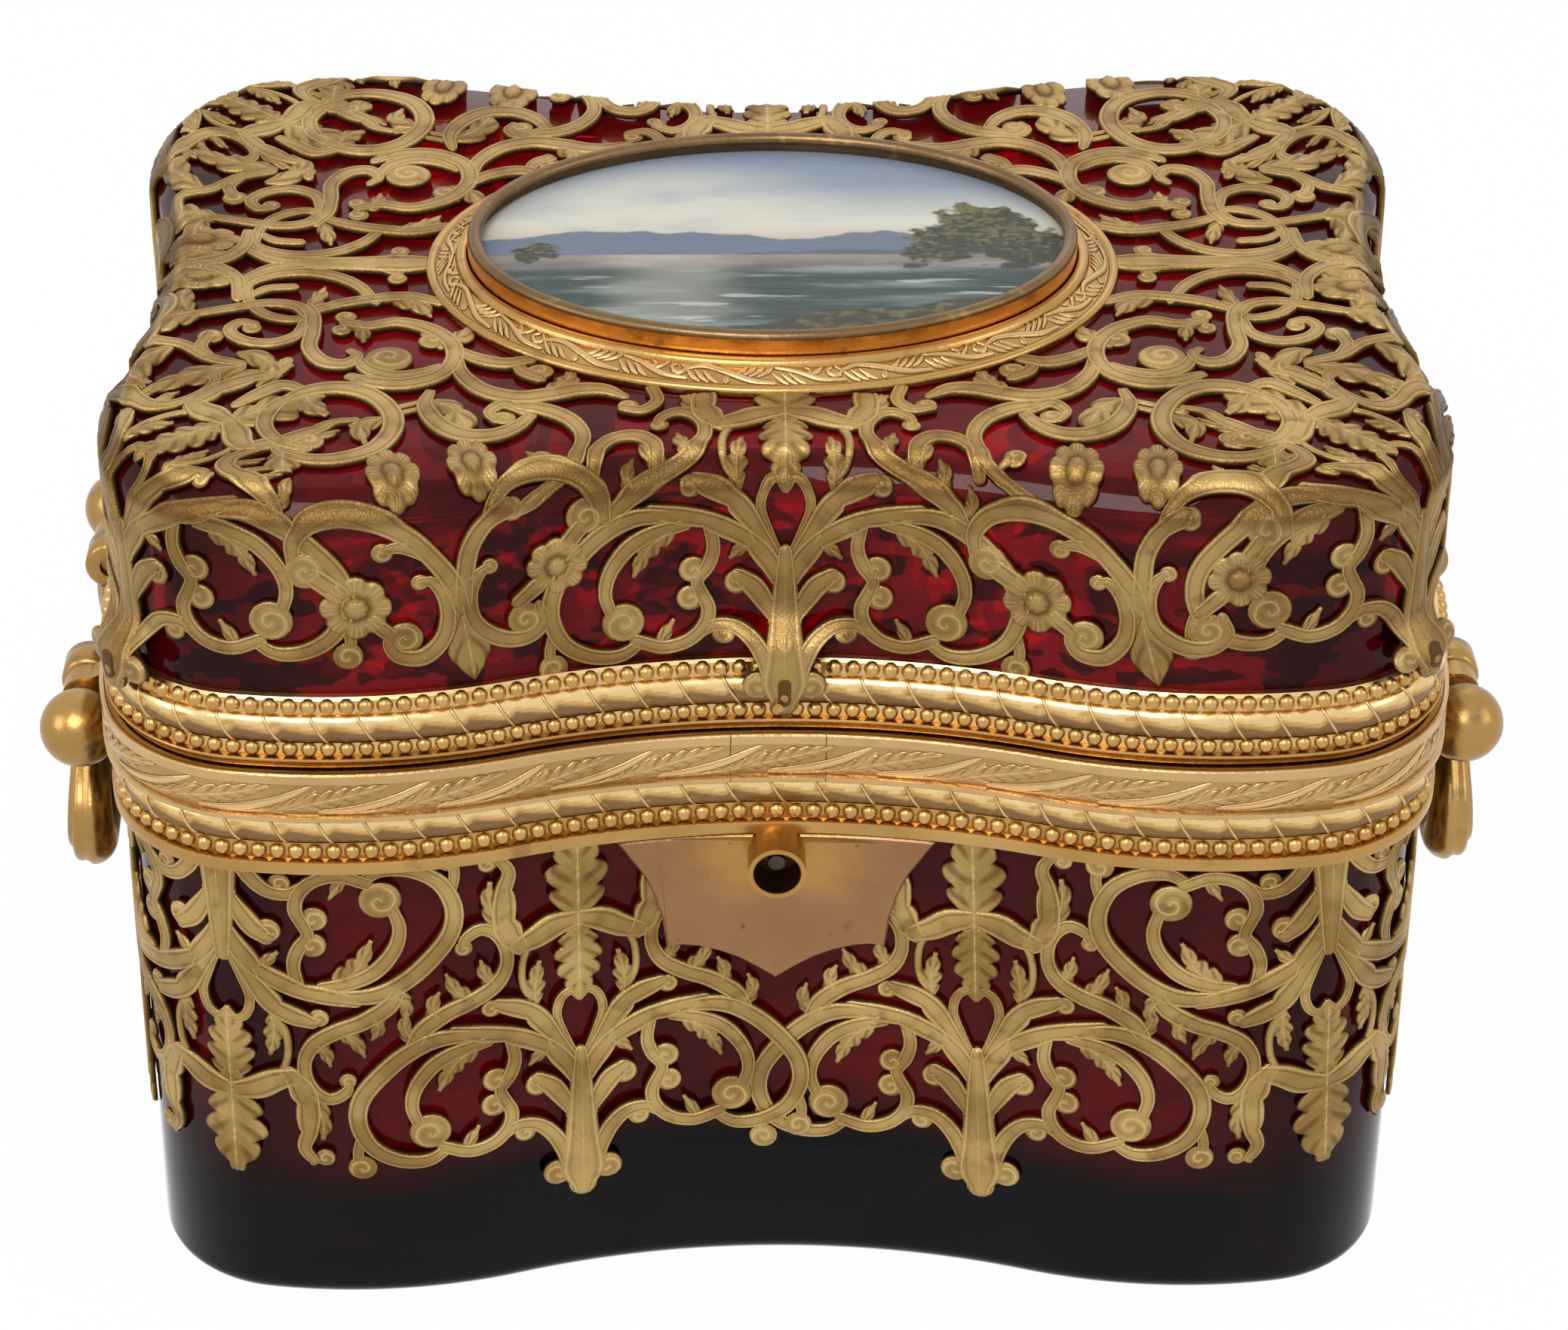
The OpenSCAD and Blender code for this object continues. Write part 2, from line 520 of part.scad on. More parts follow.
module lock_case() color(steel) difference() {
    translate([-case_w / 2, case_y, case_z0]) cube([case_w, case_d, case_z1 - case_z0]);
    translate([-case_w / 2 + 0.8, case_y + 0.8, case_z0 + 0.8]) cube([case_w - 1.6, case_d - 1.6, case_z1 - case_z0 - 1.6]);
    translate([-1.6, case_y + 1, case_z1 - 2]) cube([3.2, case_d - 1.9, 4]);
}
module lock_bolt() color(steel) translate([-9.6, bolt_y - 0.95, bolt_z - 1.35]) cube([8.2, 1.9, 2.7]);
module lid_catch() color(steel) difference() {
    union() {
        translate([-5, case_y, lid_z + 1.4]) cube([10, 6, 1.2]);
        translate([-0.8, bolt_y - 1.9, bolt_z - 2.6]) cube([1.6, 3.6, lid_z + 1.6 - bolt_z + 2.6]);
    }
    translate([-3, bolt_y - 1.2, bolt_z - 1.6]) cube([6, 2.4, 3.2]);
}

// Hinges, one on each back lobe
hinge_x = front_lobe_x;
hinge_y = half_depth + band_out + 0.2 + knuckle_r;
hinge_z = seam_z + seam / 2;
leaf_y = half_depth + band_out + 0.15;
leaf_t = 0.8;
lid_knuckle = hinge_w / 3;
module knuckles(x0, w) translate([x0, hinge_y, hinge_z]) rotate([0, 90, 0]) cylinder(r = knuckle_r, h = w);
module hinge_bore(x) translate([x - hinge_w, hinge_y, hinge_z]) rotate([0, 90, 0])
    cylinder(r = hinge_pin_r + fit, h = 2 * hinge_w);
module hinge_base_leaves() color(gilt) for (x = [-hinge_x, hinge_x]) difference() {
    union() {
        translate([x - hinge_w / 2, leaf_y, rope_z]) cube([hinge_w, leaf_t, chased_z + chased_h - rope_z - knuckle_r - 0.2]);
        for (s = [-1, 1]) {
            x0 = s < 0 ? x - hinge_w / 2 : x + lid_knuckle / 2 + 0.2;
            knuckles(x0, lid_knuckle - 0.2);
            translate([x0, leaf_y, seam_z - 3]) cube([lid_knuckle - 0.2, leaf_t, 3]);
        }
    }
    hinge_bore(x);
}
module hinge_lid_leaves() color(gilt) for (x = [-hinge_x, hinge_x]) difference() {
    union() {
        translate([x - hinge_w / 2, leaf_y, hinge_z + knuckle_r + 0.2]) cube([hinge_w, leaf_t, 6]);
        knuckles(x - lid_knuckle / 2, lid_knuckle);
        translate([x - lid_knuckle / 2, leaf_y, hinge_z]) cube([lid_knuckle, leaf_t, 3]);
    }
    hinge_bore(x);
}
module hinge_pins() color(steel) for (x = [-hinge_x, hinge_x]) translate([x - hinge_w / 2 - 0.3, hinge_y, hinge_z])
    rotate([0, 90, 0]) cylinder(r = hinge_pin_r, h = hinge_w + 0.6);
module hinge_rivets() color(gilt) for (x = [-hinge_x, hinge_x]) for (s = [-1, 1])
    translate([x + s * (hinge_w / 2 - 2.4), leaf_y + leaf_t, rope_z + 2.4]) rotate([-90, 0, 0])
        cylinder(r = 1, h = 0.6, $fn = 24);

// Handles: a lug each side of a swinging bar, and a ball-ended pivot through each lug
pivot_x = half_width + pivot_out;
pivot_z = rim_z + pivot_up;
lug_y = ball_y - ball_r - 4.6;
lug_t = 3;
eye_y = lug_y - 2.5;
bar_z = pivot_z - bail_drop;
arm_y = ball_y - 3.8;
module handle_lugs() color(gilt) for (sx = [-1, 1]) for (sy = [-1, 1]) mirror([sx < 0 ? 1 : 0, 0, 0])
    mirror([0, sy < 0 ? 1 : 0, 0]) difference() {
        translate([0, lug_y + lug_t, 0]) rotate([90, 0, 0]) linear_extrude(lug_t) difference() {
            union() {
                polygon([[half_width - 4, rim_z + 0.3], [pivot_x, pivot_z - 2.2], [pivot_x, pivot_z + 2.2],
                    [half_width - 4, chased_z + 1]]);
                translate([pivot_x, pivot_z]) circle(2.6, $fn = 40);
            }
            translate([pivot_x, pivot_z]) circle(pivot_r + fit, $fn = 40);
        }
        slab(band_out + 0.05, rim_z - 1, seam_z);
    }
module handle_pivots() color(gilt) for (sx = [-1, 1]) for (sy = [-1, 1])
    translate([sx * pivot_x, 0, pivot_z]) mirror([0, sy < 0 ? 1 : 0, 0]) {
        translate([0, eye_y - 1.6, 0]) rotate([-90, 0, 0]) cylinder(r = pivot_r, h = ball_y - eye_y);
        translate([0, lug_y + lug_t + 0.05, 0]) rotate([-90, 0, 0]) cylinder(r = 2.1, h = 3);
        translate([0, ball_y, 0]) sphere(ball_r, $fn = 48);
    }
module limb(p, q, r) {
    v = q - p;
    translate(p) rotate([0, acos(v.z / norm(v)), atan2(v.y, v.x)]) cylinder(r = r, h = norm(v), $fn = 32);
}
module drop_handle(sx) color(gilt) difference() {
    union() {
        translate([sx * pivot_x, -(arm_y - 4.6), bar_z]) rotate([-90, 0, 0])
            cylinder(r = bail_r, h = 2 * (arm_y - 4.6), $fn = 32);
        for (sy = [-1, 1]) {
            translate([sx * pivot_x, sy * (arm_y - 4.6), bar_z]) sphere(bail_r + 0.1, $fn = 32);
            limb([sx * pivot_x, sy * (arm_y - 4.6), bar_z], [sx * pivot_x, sy * arm_y, bar_z + 5.4], bail_r - 0.1);
            translate([sx * pivot_x, sy * arm_y, bar_z + 5.4]) sphere(bail_r, $fn = 32);
            limb([sx * pivot_x, sy * arm_y, bar_z + 5.4], [sx * pivot_x, sy * (eye_y - 1.3), pivot_z - 2],
                bail_r - 0.5);
            translate([sx * pivot_x, sy * eye_y - 2.2, pivot_z]) rotate([-90, 0, 0]) cylinder(r = 3, h = 4.4, $fn = 40);
        }
    }
    for (sy = [-1, 1]) translate([sx * pivot_x, sy * eye_y - 4, pivot_z]) rotate([-90, 0, 0])
        cylinder(r = pivot_r + fit, h = 8);
}
module left_handle() drop_handle(-1);
module right_handle() drop_handle(1);

base_glass();
base_collar();
base_bead_row();
base_rope_moulding();
chased_band();
paired_mount(-front_stem_u, front_stem_u, 1);  // base_mount_front_left
paired_mount(front_stem_u, front_stem_u, -1);  // base_mount_front_right
paired_mount(half_round + front_stem_u, front_stem_u, -1);  // base_mount_back_left
paired_mount(half_round - front_stem_u, front_stem_u, 1);  // base_mount_back_right
paired_mount(3 * quarter_len + side_stem_u, side_stem_u, -1);  // base_mount_left_front
paired_mount(3 * quarter_len - side_stem_u, side_stem_u, 1);  // base_mount_left_back
paired_mount(quarter_len - side_stem_u, side_stem_u, 1);  // base_mount_right_front
paired_mount(quarter_len + side_stem_u, side_stem_u, -1);  // base_mount_right_back
corner_mount(-corner_stem_u);  // base_mount_corner_fl
corner_mount(corner_stem_u);  // base_mount_corner_fr
corner_mount(half_round + corner_stem_u);  // base_mount_corner_bl
corner_mount(half_round - corner_stem_u);  // base_mount_corner_br
lid_glass();
lid_collar();
lid_lower_bead_row();
lid_rope_moulding();
lid_upper_bead_row();
lid_palmette(0);  // lid_mount_front
lid_palmette(half_round);  // lid_mount_back
lid_palmette(-lid_corner_u, lid_corner_k, 6.5);  // lid_mount_corner_fl
lid_palmette(lid_corner_u, lid_corner_k, 6.5);  // lid_mount_corner_fr
lid_palmette(half_round + lid_corner_u, lid_corner_k, 6.5);  // lid_mount_corner_bl
lid_palmette(half_round - lid_corner_u, lid_corner_k, 6.5);  // lid_mount_corner_br
lid_flower(-left_flower_u);  // lid_flower_front_left
lid_flower(right_flower_u);  // lid_flower_front_right
lid_flower(half_round + right_flower_u);  // lid_flower_back_left
lid_flower(half_round - left_flower_u);  // lid_flower_back_right
lid_flower(3 * quarter_len);  // lid_flower_left
lid_flower(quarter_len);  // lid_flower_right
top_mount(-1, -1);  // lid_top_mount_fl
top_mount(1, -1);  // lid_top_mount_fr
top_mount(-1, 1);  // lid_top_mount_bl
top_mount(1, 1);  // lid_top_mount_br
mount_pins();
medallion_border();
bezel_band();
bezel_rim();
cover_glass();
painted_plaque();
plaque_backing();
lock_plate();
key_barrel();
drill_pin();
lock_case();
lock_bolt();
lid_catch();
hinge_base_leaves();
hinge_lid_leaves();
hinge_pins();
hinge_rivets();
handle_lugs();
handle_pivots();
left_handle();
right_handle();
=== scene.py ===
import math

import bmesh
import bpy
import numpy as np
from mathutils import Matrix, Vector


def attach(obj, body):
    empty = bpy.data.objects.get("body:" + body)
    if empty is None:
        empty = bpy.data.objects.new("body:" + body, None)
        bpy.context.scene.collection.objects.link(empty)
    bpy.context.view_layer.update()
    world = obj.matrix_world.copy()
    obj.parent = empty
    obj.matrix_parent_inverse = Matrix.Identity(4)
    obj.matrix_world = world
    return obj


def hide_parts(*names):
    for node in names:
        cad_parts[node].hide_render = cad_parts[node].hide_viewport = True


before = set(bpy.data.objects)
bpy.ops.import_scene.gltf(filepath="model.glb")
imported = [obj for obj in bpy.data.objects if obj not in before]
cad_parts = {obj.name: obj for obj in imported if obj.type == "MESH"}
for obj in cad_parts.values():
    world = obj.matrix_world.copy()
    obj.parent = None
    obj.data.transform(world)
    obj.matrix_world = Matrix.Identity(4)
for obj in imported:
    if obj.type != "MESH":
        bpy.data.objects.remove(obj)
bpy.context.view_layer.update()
mm = 0.001

# the outline and the levels, in millimetres
plan = {"halfWidth": 70, "halfDepth": 50, "frontLobeX": 47, "sideLobeY": 29, "frontLobeR": 60,
        "sideLobeR": 40, "cornerR": 15, "frontHollowR": 90, "sideHollowR": 85}
level = {"mountTop": 59.25, "rim": 59.4, "baseBeads": 61, "baseRope": 63, "chased": 66.4, "seam": 72.4,
         "lidBeads": 74, "lidRope": 75.6, "upperBeads": 79, "rimTop": 80.9, "bevel": 101.4, "top": 104}
bevelRun = level["top"] - level["bevel"]
bevelLength = bevelRun * math.sqrt(2)


def heading(a, b):
    return math.atan2(b[1] - a[1], b[0] - a[0])


def makeArcs(p):  # five arcs a quarter, each tangent to the next: centre, radius, side, first and last angle
    front = np.array([p["frontLobeX"], p["frontLobeR"] - p["halfDepth"]], float)
    side = np.array([p["halfWidth"] - p["sideLobeR"], -p["sideLobeY"]], float)
    rFront, rSide = p["frontLobeR"] - p["cornerR"], p["sideLobeR"] - p["cornerR"]
    gap = np.linalg.norm(side - front)
    way = (side - front) / gap
    along = (rFront**2 - rSide**2 + gap**2) / (2 * gap)
    across = math.sqrt(rFront**2 - along**2)
    corner = front + along * way + across * np.array([-way[1], way[0]])
    hollow = (0, front[1] - math.sqrt((p["frontLobeR"] + p["frontHollowR"]) ** 2 - front[0] ** 2))
    flank = (side[0] + math.sqrt((p["sideLobeR"] + p["sideHollowR"]) ** 2 - side[1] ** 2), 0)
    a = [heading(hollow, front), heading(front, corner), heading(side, corner), heading(side, flank)]
    return [(hollow, p["frontHollowR"], -1, math.pi / 2, a[0]),
            (front, p["frontLobeR"], 1, a[0] - math.pi, a[1]), (corner, p["cornerR"], 1, a[1], a[2]),
            (side, p["sideLobeR"], 1, a[2], a[3]), (flank, p["sideHollowR"], -1, a[3] + math.pi, math.pi)]


arcs = makeArcs(plan)
quarter = sum(r * abs(b - a) for _, r, _, a, b in arcs)
around = 4 * quarter


def wallPoint(u, d):  # u round the outline from the middle of the front, d outside the glass
    u, d = np.broadcast_arrays(np.asarray(u, float), np.asarray(d, float))
    turn = np.mod(u, around)
    k = np.floor(turn / quarter)
    r = turn - k * quarter
    r = np.where(k % 2 == 0, r, quarter - r)
    x, y, start = np.zeros_like(r), np.zeros_like(r), 0.0
    for centre, radius, side, a0, a1 in arcs:
        length = radius * abs(a1 - a0)
        angle = a0 + (a1 - a0) * np.clip((r - start) / length, 0, 1)
        here = r >= start - 1e-9
        x = np.where(here, centre[0] + (radius + side * d) * np.cos(angle), x)
        y = np.where(here, centre[1] + (radius + side * d) * np.sin(angle), y)
        start += length
    return np.where(k < 2, x, -x), np.where((k == 0) | (k == 3), y, -y)


def wallNormal(u):
    x0, y0 = wallPoint(u, 0)
    x1, y1 = wallPoint(u, 1)
    return x1 - x0, y1 - y0


def ease(t):
    t = np.clip(t, 0, 1)
    return t * t * (3 - 2 * t)


def onBase(u, v, d):  # on the base's wall, and no higher than just under the rim
    return np.stack([*wallPoint(u, d), np.minimum(v, level["mountTop"])], -1)


def onLid(centre, u, v, d):  # up the lid's wall, over its bevel and straight inwards on its top
    over = v - level["bevel"]
    up = np.clip(over, 0, bevelLength) / math.sqrt(2)
    run = np.maximum(over - bevelLength, 0)
    tilt = math.pi / 4 * (ease(over + 0.5) + ease(over - bevelLength + 0.5))
    x, y = wallPoint(u, d * np.cos(tilt) - up)
    nx, ny = wallNormal(centre)
    return np.stack([x - run * nx, y - run * ny, np.minimum(v, level["bevel"]) + up + d * np.sin(tilt)], -1)


# where the top's outline lies, for whatever is bent over its edge
edgeU = np.linspace(0, around, 1800, endpoint=False)
edgeX, edgeY = wallPoint(edgeU, 0)


def onTop(x, y, d):  # flat on the lid's top, and bent down over the bevel beyond its edge
    batch, soft = 4000, 0.6
    here = [slice(i, i + batch) for i in range(0, x.size, batch)]
    near = np.concatenate([((x[i, None] - edgeX) ** 2 + (y[i, None] - edgeY) ** 2).argmin(1) for i in here])
    dx, dy = x - edgeX[near], y - edgeY[near]
    nx, ny = wallNormal(edgeU[near])
    far = np.sqrt(dx**2 + dy**2) * np.where(dx * nx + dy * ny > 0, -1, 1)
    bent = onLid(edgeU[near], edgeU[near], level["bevel"] + bevelLength - (bevelRun - far), d)
    mix = ease((bevelRun + soft - far) / soft)[..., None]
    return np.stack([x, y, level["top"] + d], -1) * (1 - mix) + bent * mix


def newPiece(name, data, body=None):
    piece = bpy.data.objects.new(name, data)
    bpy.context.scene.collection.objects.link(piece)
    if body:
        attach(piece, body)
    return piece


# a piece is made of parts: (points, faces, marks), where the marks say how much light each point catches
def plain(points, faces):
    return points, faces, np.full(len(points), 0.8)


def made(name, parts, finish, body, nodes=(), sharp=None, recalc=True):
    starts = np.cumsum([0] + [len(points) for points, _, _ in parts]).tolist()
    faces = [[i + start for i in face] for start, part in zip(starts, parts) for face in part[1]]
    mesh = bpy.data.meshes.new(name)
    mesh.from_pydata((np.concatenate([part[0] for part in parts]) * mm).tolist(), [], faces)
    mesh.update()
    # the marks are kept as painted light, which the gilding turns into painted shade and painted highlights
    marks = np.concatenate([part[2] for part in parts]).astype(np.float32)
    mesh.attributes.new("relief", "FLOAT", "POINT").data.foreach_set("value", marks)
    mesh.polygons.foreach_set("use_smooth", [True] * len(mesh.polygons))
    mesh.materials.append(finishes[finish])
    if recalc:  # merge doubles and turn the faces out
        work = bmesh.new()
        work.from_mesh(mesh)
        bmesh.ops.remove_doubles(work, verts=work.verts, dist=1e-6)
        bmesh.ops.recalc_face_normals(work, faces=work.faces)
        work.to_mesh(mesh)
        work.free()
    if sharp:
        mesh.set_sharp_from_angle(angle=math.radians(sharp))
    handIn(newPiece(name, mesh, body), finish, nodes)


def handIn(piece, finish, nodes=()):
    if nodes:
        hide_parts(*nodes)


def smoothPath(points, step):  # Catmull-Rom through the given points, every column alike
    p = np.asarray(points, float)
    p = np.vstack([2 * p[0] - p[1], p, 2 * p[-1] - p[-2]])
    out = []
    for i in range(1, len(p) - 2):
        n = max(2, int(math.ceil(np.linalg.norm(p[i + 1, :2] - p[i, :2]) / step)))
        t = (np.arange(n) / n)[:, None]
        a, b, c, e = p[i - 1], p[i], p[i + 1], p[i + 2]
        out.append(0.5 * (2 * b + (c - a) * t + (2 * a - 5 * b + 4 * c - e) * t**2
                          + (3 * b - a - 3 * c + e) * t**3))
    return np.vstack(out + [p[-2]])


def shareAlong(path):  # how far along it each of a path's points lies
    run = np.r_[0, np.cumsum(np.linalg.norm(np.diff(path[:, :2], axis=0), axis=1))]
    return run / run[-1]


def beside(path, reach):  # for each of a path's points, a row of points that lie to its left by their reach
    way = np.gradient(path[:, :2], axis=0)
    way /= np.maximum(np.linalg.norm(way, axis=1), 1e-6)[:, None]
    return path[:, None, :2] + np.stack([-way[:, 1], way[:, 0]], -1)[:, None] * reach[..., None]


def sideFaces(n, k, closed=False):  # n rings of k points, each ring clockwise as seen along the way it runs
    return [[i * k + j, (i + 1) % n * k + j, (i + 1) % n * k + (j + 1) % k, i * k + (j + 1) % k]
            for i in range(n if closed else n - 1) for j in range(k)]


def tubeFaces(n, k):  # the same, with both ends shut
    return sideFaces(n, k) + [list(range(k)), list(range(n * k - 1, (n - 1) * k - 1, -1))]


def turnedOver(quads):  # for rings that run the other way
    return [[a, d, c, b] for a, b, c, d in quads]


def mirrored(faces):
    return [face[::-1] for face in faces]


def bothSides(parts):
    return parts + [(p * [-1, 1, 1], mirrored(faces), marks) for p, faces, marks in parts]


# a cast stroke's sections run from its edge to its middle: share of the half width, share of the height, and
# how much light it catches
castStroke = {"step": 0.6, "thin": 0.4, "deep": 0.76, "bottom": 0.02, "bottomLight": 0.3, "cusp": 0.34,
              "ribbonFrom": 1.15, "wireFrom": 0.65, "broad": 1.03, "swell": 1.3,
              "ribbon": [(1, .4, .3), (.94, .86, .7), (.82, 1, 1.02), (.66, .97, .86), (.54, .86, .56),
                         (.4, .95, .82), (0, 1, .87)],
              "fine": [(1, .35, .4), (.45, 1, .96)],
              "dome": [(1, .5, .5), (.9, .95, .85), (.7, 1.12, 1), (.56, 1.02, .66), (.36, 1.2, .86),
                       (0, 1.3, .96)],
              "wire": [(1, .35, .35), (.8, .85, .8), (.35, 1, .96)],
              "leafAcross": 17, "leafStep": 0.27, "leafWidth": 0.54, "vein": 0.1, "lobeDepth": 0.42,
              "knobRings": (1, .95, .86, .74, .62, .5, .38, .24, .1), "knobSides": 24, "knobDeep": 0.95}


def lobed(t, lobes, depth):  # each lobe swells towards the tip and is cut back there
    return 1 - depth + depth * np.maximum(np.sin(np.pi * np.mod(lobes * t, 1) ** 1.5), 0) ** 0.45


def pulse(x, middle, width):
    return np.exp(-(((x - middle) / width) ** 2))


def stroke(points, lobes=0, side=1, dome=False):  # a band with a lip along each edge; its lobes cut one side
    c = castStroke
    path = smoothPath(points, c["leafStep"] if lobes else c["step"])
    widest = path[:, 2].max()
    kind = "ribbon" if widest > c["ribbonFrom"] else "wire" if widest > c["wireFrom"] else "fine"
    half = c["dome" if dome else kind]
    section = [(-x, h, light) for x, h, light in half] + [p for p in half[::-1] if p[0]]
    across, height, light = np.array(section + [(.95, 0, c["bottomLight"]), (-.95, 0, c["bottomLight"])]).T
    caps = np.sin(np.radians((75, 30) if kind == "fine" else (80, 50, 20)))
    cut = 1
    if lobes:
        cut = np.pad(lobed(shareAlong(path), lobes, c["cusp"]), len(caps), constant_values=1)
        cut = cut[:, None] * c["swell"]
    for _ in range(2):  # round its first end, and turn it about
        start, width = path[0, :2], path[0, 2]
        way = start - path[1, :2]
        way = way / max(np.linalg.norm(way), 1e-6)
        ring = [np.r_[start + way * width / 2 * s, width * math.sqrt(1 - s * s)] for s in caps]
        path = np.vstack([ring, path])[::-1]
    width = path[:, 2] * np.where(path[:, 2] > c["ribbonFrom"], c["broad"], 1)
    reach = width[:, None] / 2 * across * np.where(across * side > 0, cut, 1)
    tall = np.minimum(c["deep"], c["thin"] + 0.2 * path[:, 2])[:, None]
    points = np.dstack([beside(path, reach), tall * height + c["bottom"]]).reshape(-1, 3)
    return points, tubeFaces(len(path), len(across)), np.tile(light, len(path))


def leaf(points, lobes=3):  # a leaf along a spine; grooves run back from between its lobes
    c = castStroke
    path = smoothPath(points, c["leafStep"])
    n, t = len(path), shareAlong(path)[:, None]
    across = np.linspace(-1, 1, c["leafAcross"])
    off = np.abs(across)
    cut = lobed(t, lobes + 0.3, c["lobeDepth"]) if lobes else np.ones((n, 1))
    phase = (lobes + 0.3) * t + 0.9 * (1 - off) if lobes else 2.6 * t + 1.2 * (1 - off)
    between = pulse(np.abs(np.mod(phase + 0.5, 1) - 0.5), 0, 0.13) * np.clip(off * 3, 0, 1)
    vein = c["vein"] * np.cos(6 * np.pi * phase) * np.clip(off * 3, 0, 1) * (1 - off**4)
    dome = 0.5 + 0.42 * np.sqrt(np.maximum(1 - off**2, 0)) ** 0.6
    rib = 0.1 * pulse(off, 0, 0.1)
    height = dome + rib + vein * 0.5 - 0.16 * between
    light = 0.86 + vein * 1.2 + 1.4 * rib - 0.42 * between - 0.1 * off**8
    tall = np.minimum(c["deep"], c["thin"] + 0.16 * path[:, 2:])
    places = beside(path, path[:, 2:] * c["leafWidth"] * cut * across)
    front = np.dstack([places, tall * height + c["bottom"]])
    back = np.dstack([places[:, [-1, 0]], np.full((n, 2), c["bottom"])])
    marks = np.hstack([light, np.full((n, 2), c["bottomLight"])]).reshape(-1)
    return np.hstack([front, back]).reshape(-1, 3), tubeFaces(n, len(across) + 2), marks


def knob(x, y, r, turns=1.3, spin=1, petals=0):  # a round scroll end, or a flower where it has petals
    c = castStroke
    sides = c["knobSides"] * (3 if petals else 1)
    rr, aa = np.meshgrid(c["knobRings"], np.arange(sides) * 2 * np.pi / sides, indexing="ij")
    if petals:
        petal = np.abs(np.cos(petals * aa / 2))
        line = np.cos(petals * 4 * aa) * np.clip((rr - 0.4) * 4, 0, 1) * np.clip((1 - rr) * 8, 0, 1)
        seam = pulse(petal, 0, 0.24) * np.clip((rr - 0.45) * 3, 0, 1)
        height = 0.62 + 0.24 * rr - 0.3 * np.clip((rr - 0.86) * 7, 0, 1) ** 2 + 0.05 * line - 0.2 * seam
        height += 0.55 * np.clip(1 - (rr / 0.34) ** 2, 0, 1) ** 0.6 - 0.16 * pulse(rr, 0.43, 0.07)
        light = 0.88 + 0.16 * line - 0.4 * seam - 0.55 * pulse(rr, 0.42, 0.08)
        light -= 0.35 * pulse(rr, 0.18, 0.06) + 0.2 * (rr > 0.97)
        reach = rr * (0.84 + 0.16 * petal ** 0.5) * r
    else:
        curl = np.cos(2 * np.pi * turns * rr - spin * aa) * np.clip((1 - rr) * 6, 0, 1)
        height = 0.62 + 0.4 * np.sqrt(np.maximum(1 - rr**2.6, 0)) + 0.06 * curl
        light = 0.84 + 0.17 * curl - 0.3 * (rr > 0.97)
        reach = rr * r
    tall = min(c["knobDeep"], c["thin"] + 0.16 * r)
    top = np.dstack([x + reach * np.cos(aa), y + reach * np.sin(aa), tall * height + c["bottom"]])
    foot = top[0] * [1, 1, 0] + [0, 0, c["bottom"]]
    ends = [[x, y, tall * (height[-1].mean() + 0.04) + c["bottom"]], [x, y, c["bottom"]]]
    marks = np.r_[light.reshape(-1), [c["bottomLight"]] * sides, 0.95, c["bottomLight"]]
    faces = turnedOver(sideFaces(len(rr), sides))
    last, low, tip = (len(rr) - 1) * sides, len(rr) * sides, (len(rr) + 1) * sides
    for j in range(sides):
        k = (j + 1) % sides
        faces += [[low + j, low + k, k, j], [last + j, last + k, tip], [low + k, low + j, tip + 1]]
    return np.concatenate([top.reshape(-1, 3), foot, ends]), faces, marks


def raised(part, lift, light=None):
    points, faces, marks = part
    return points + [0, 0, lift], faces, marks if light is None else marks * 0 + light


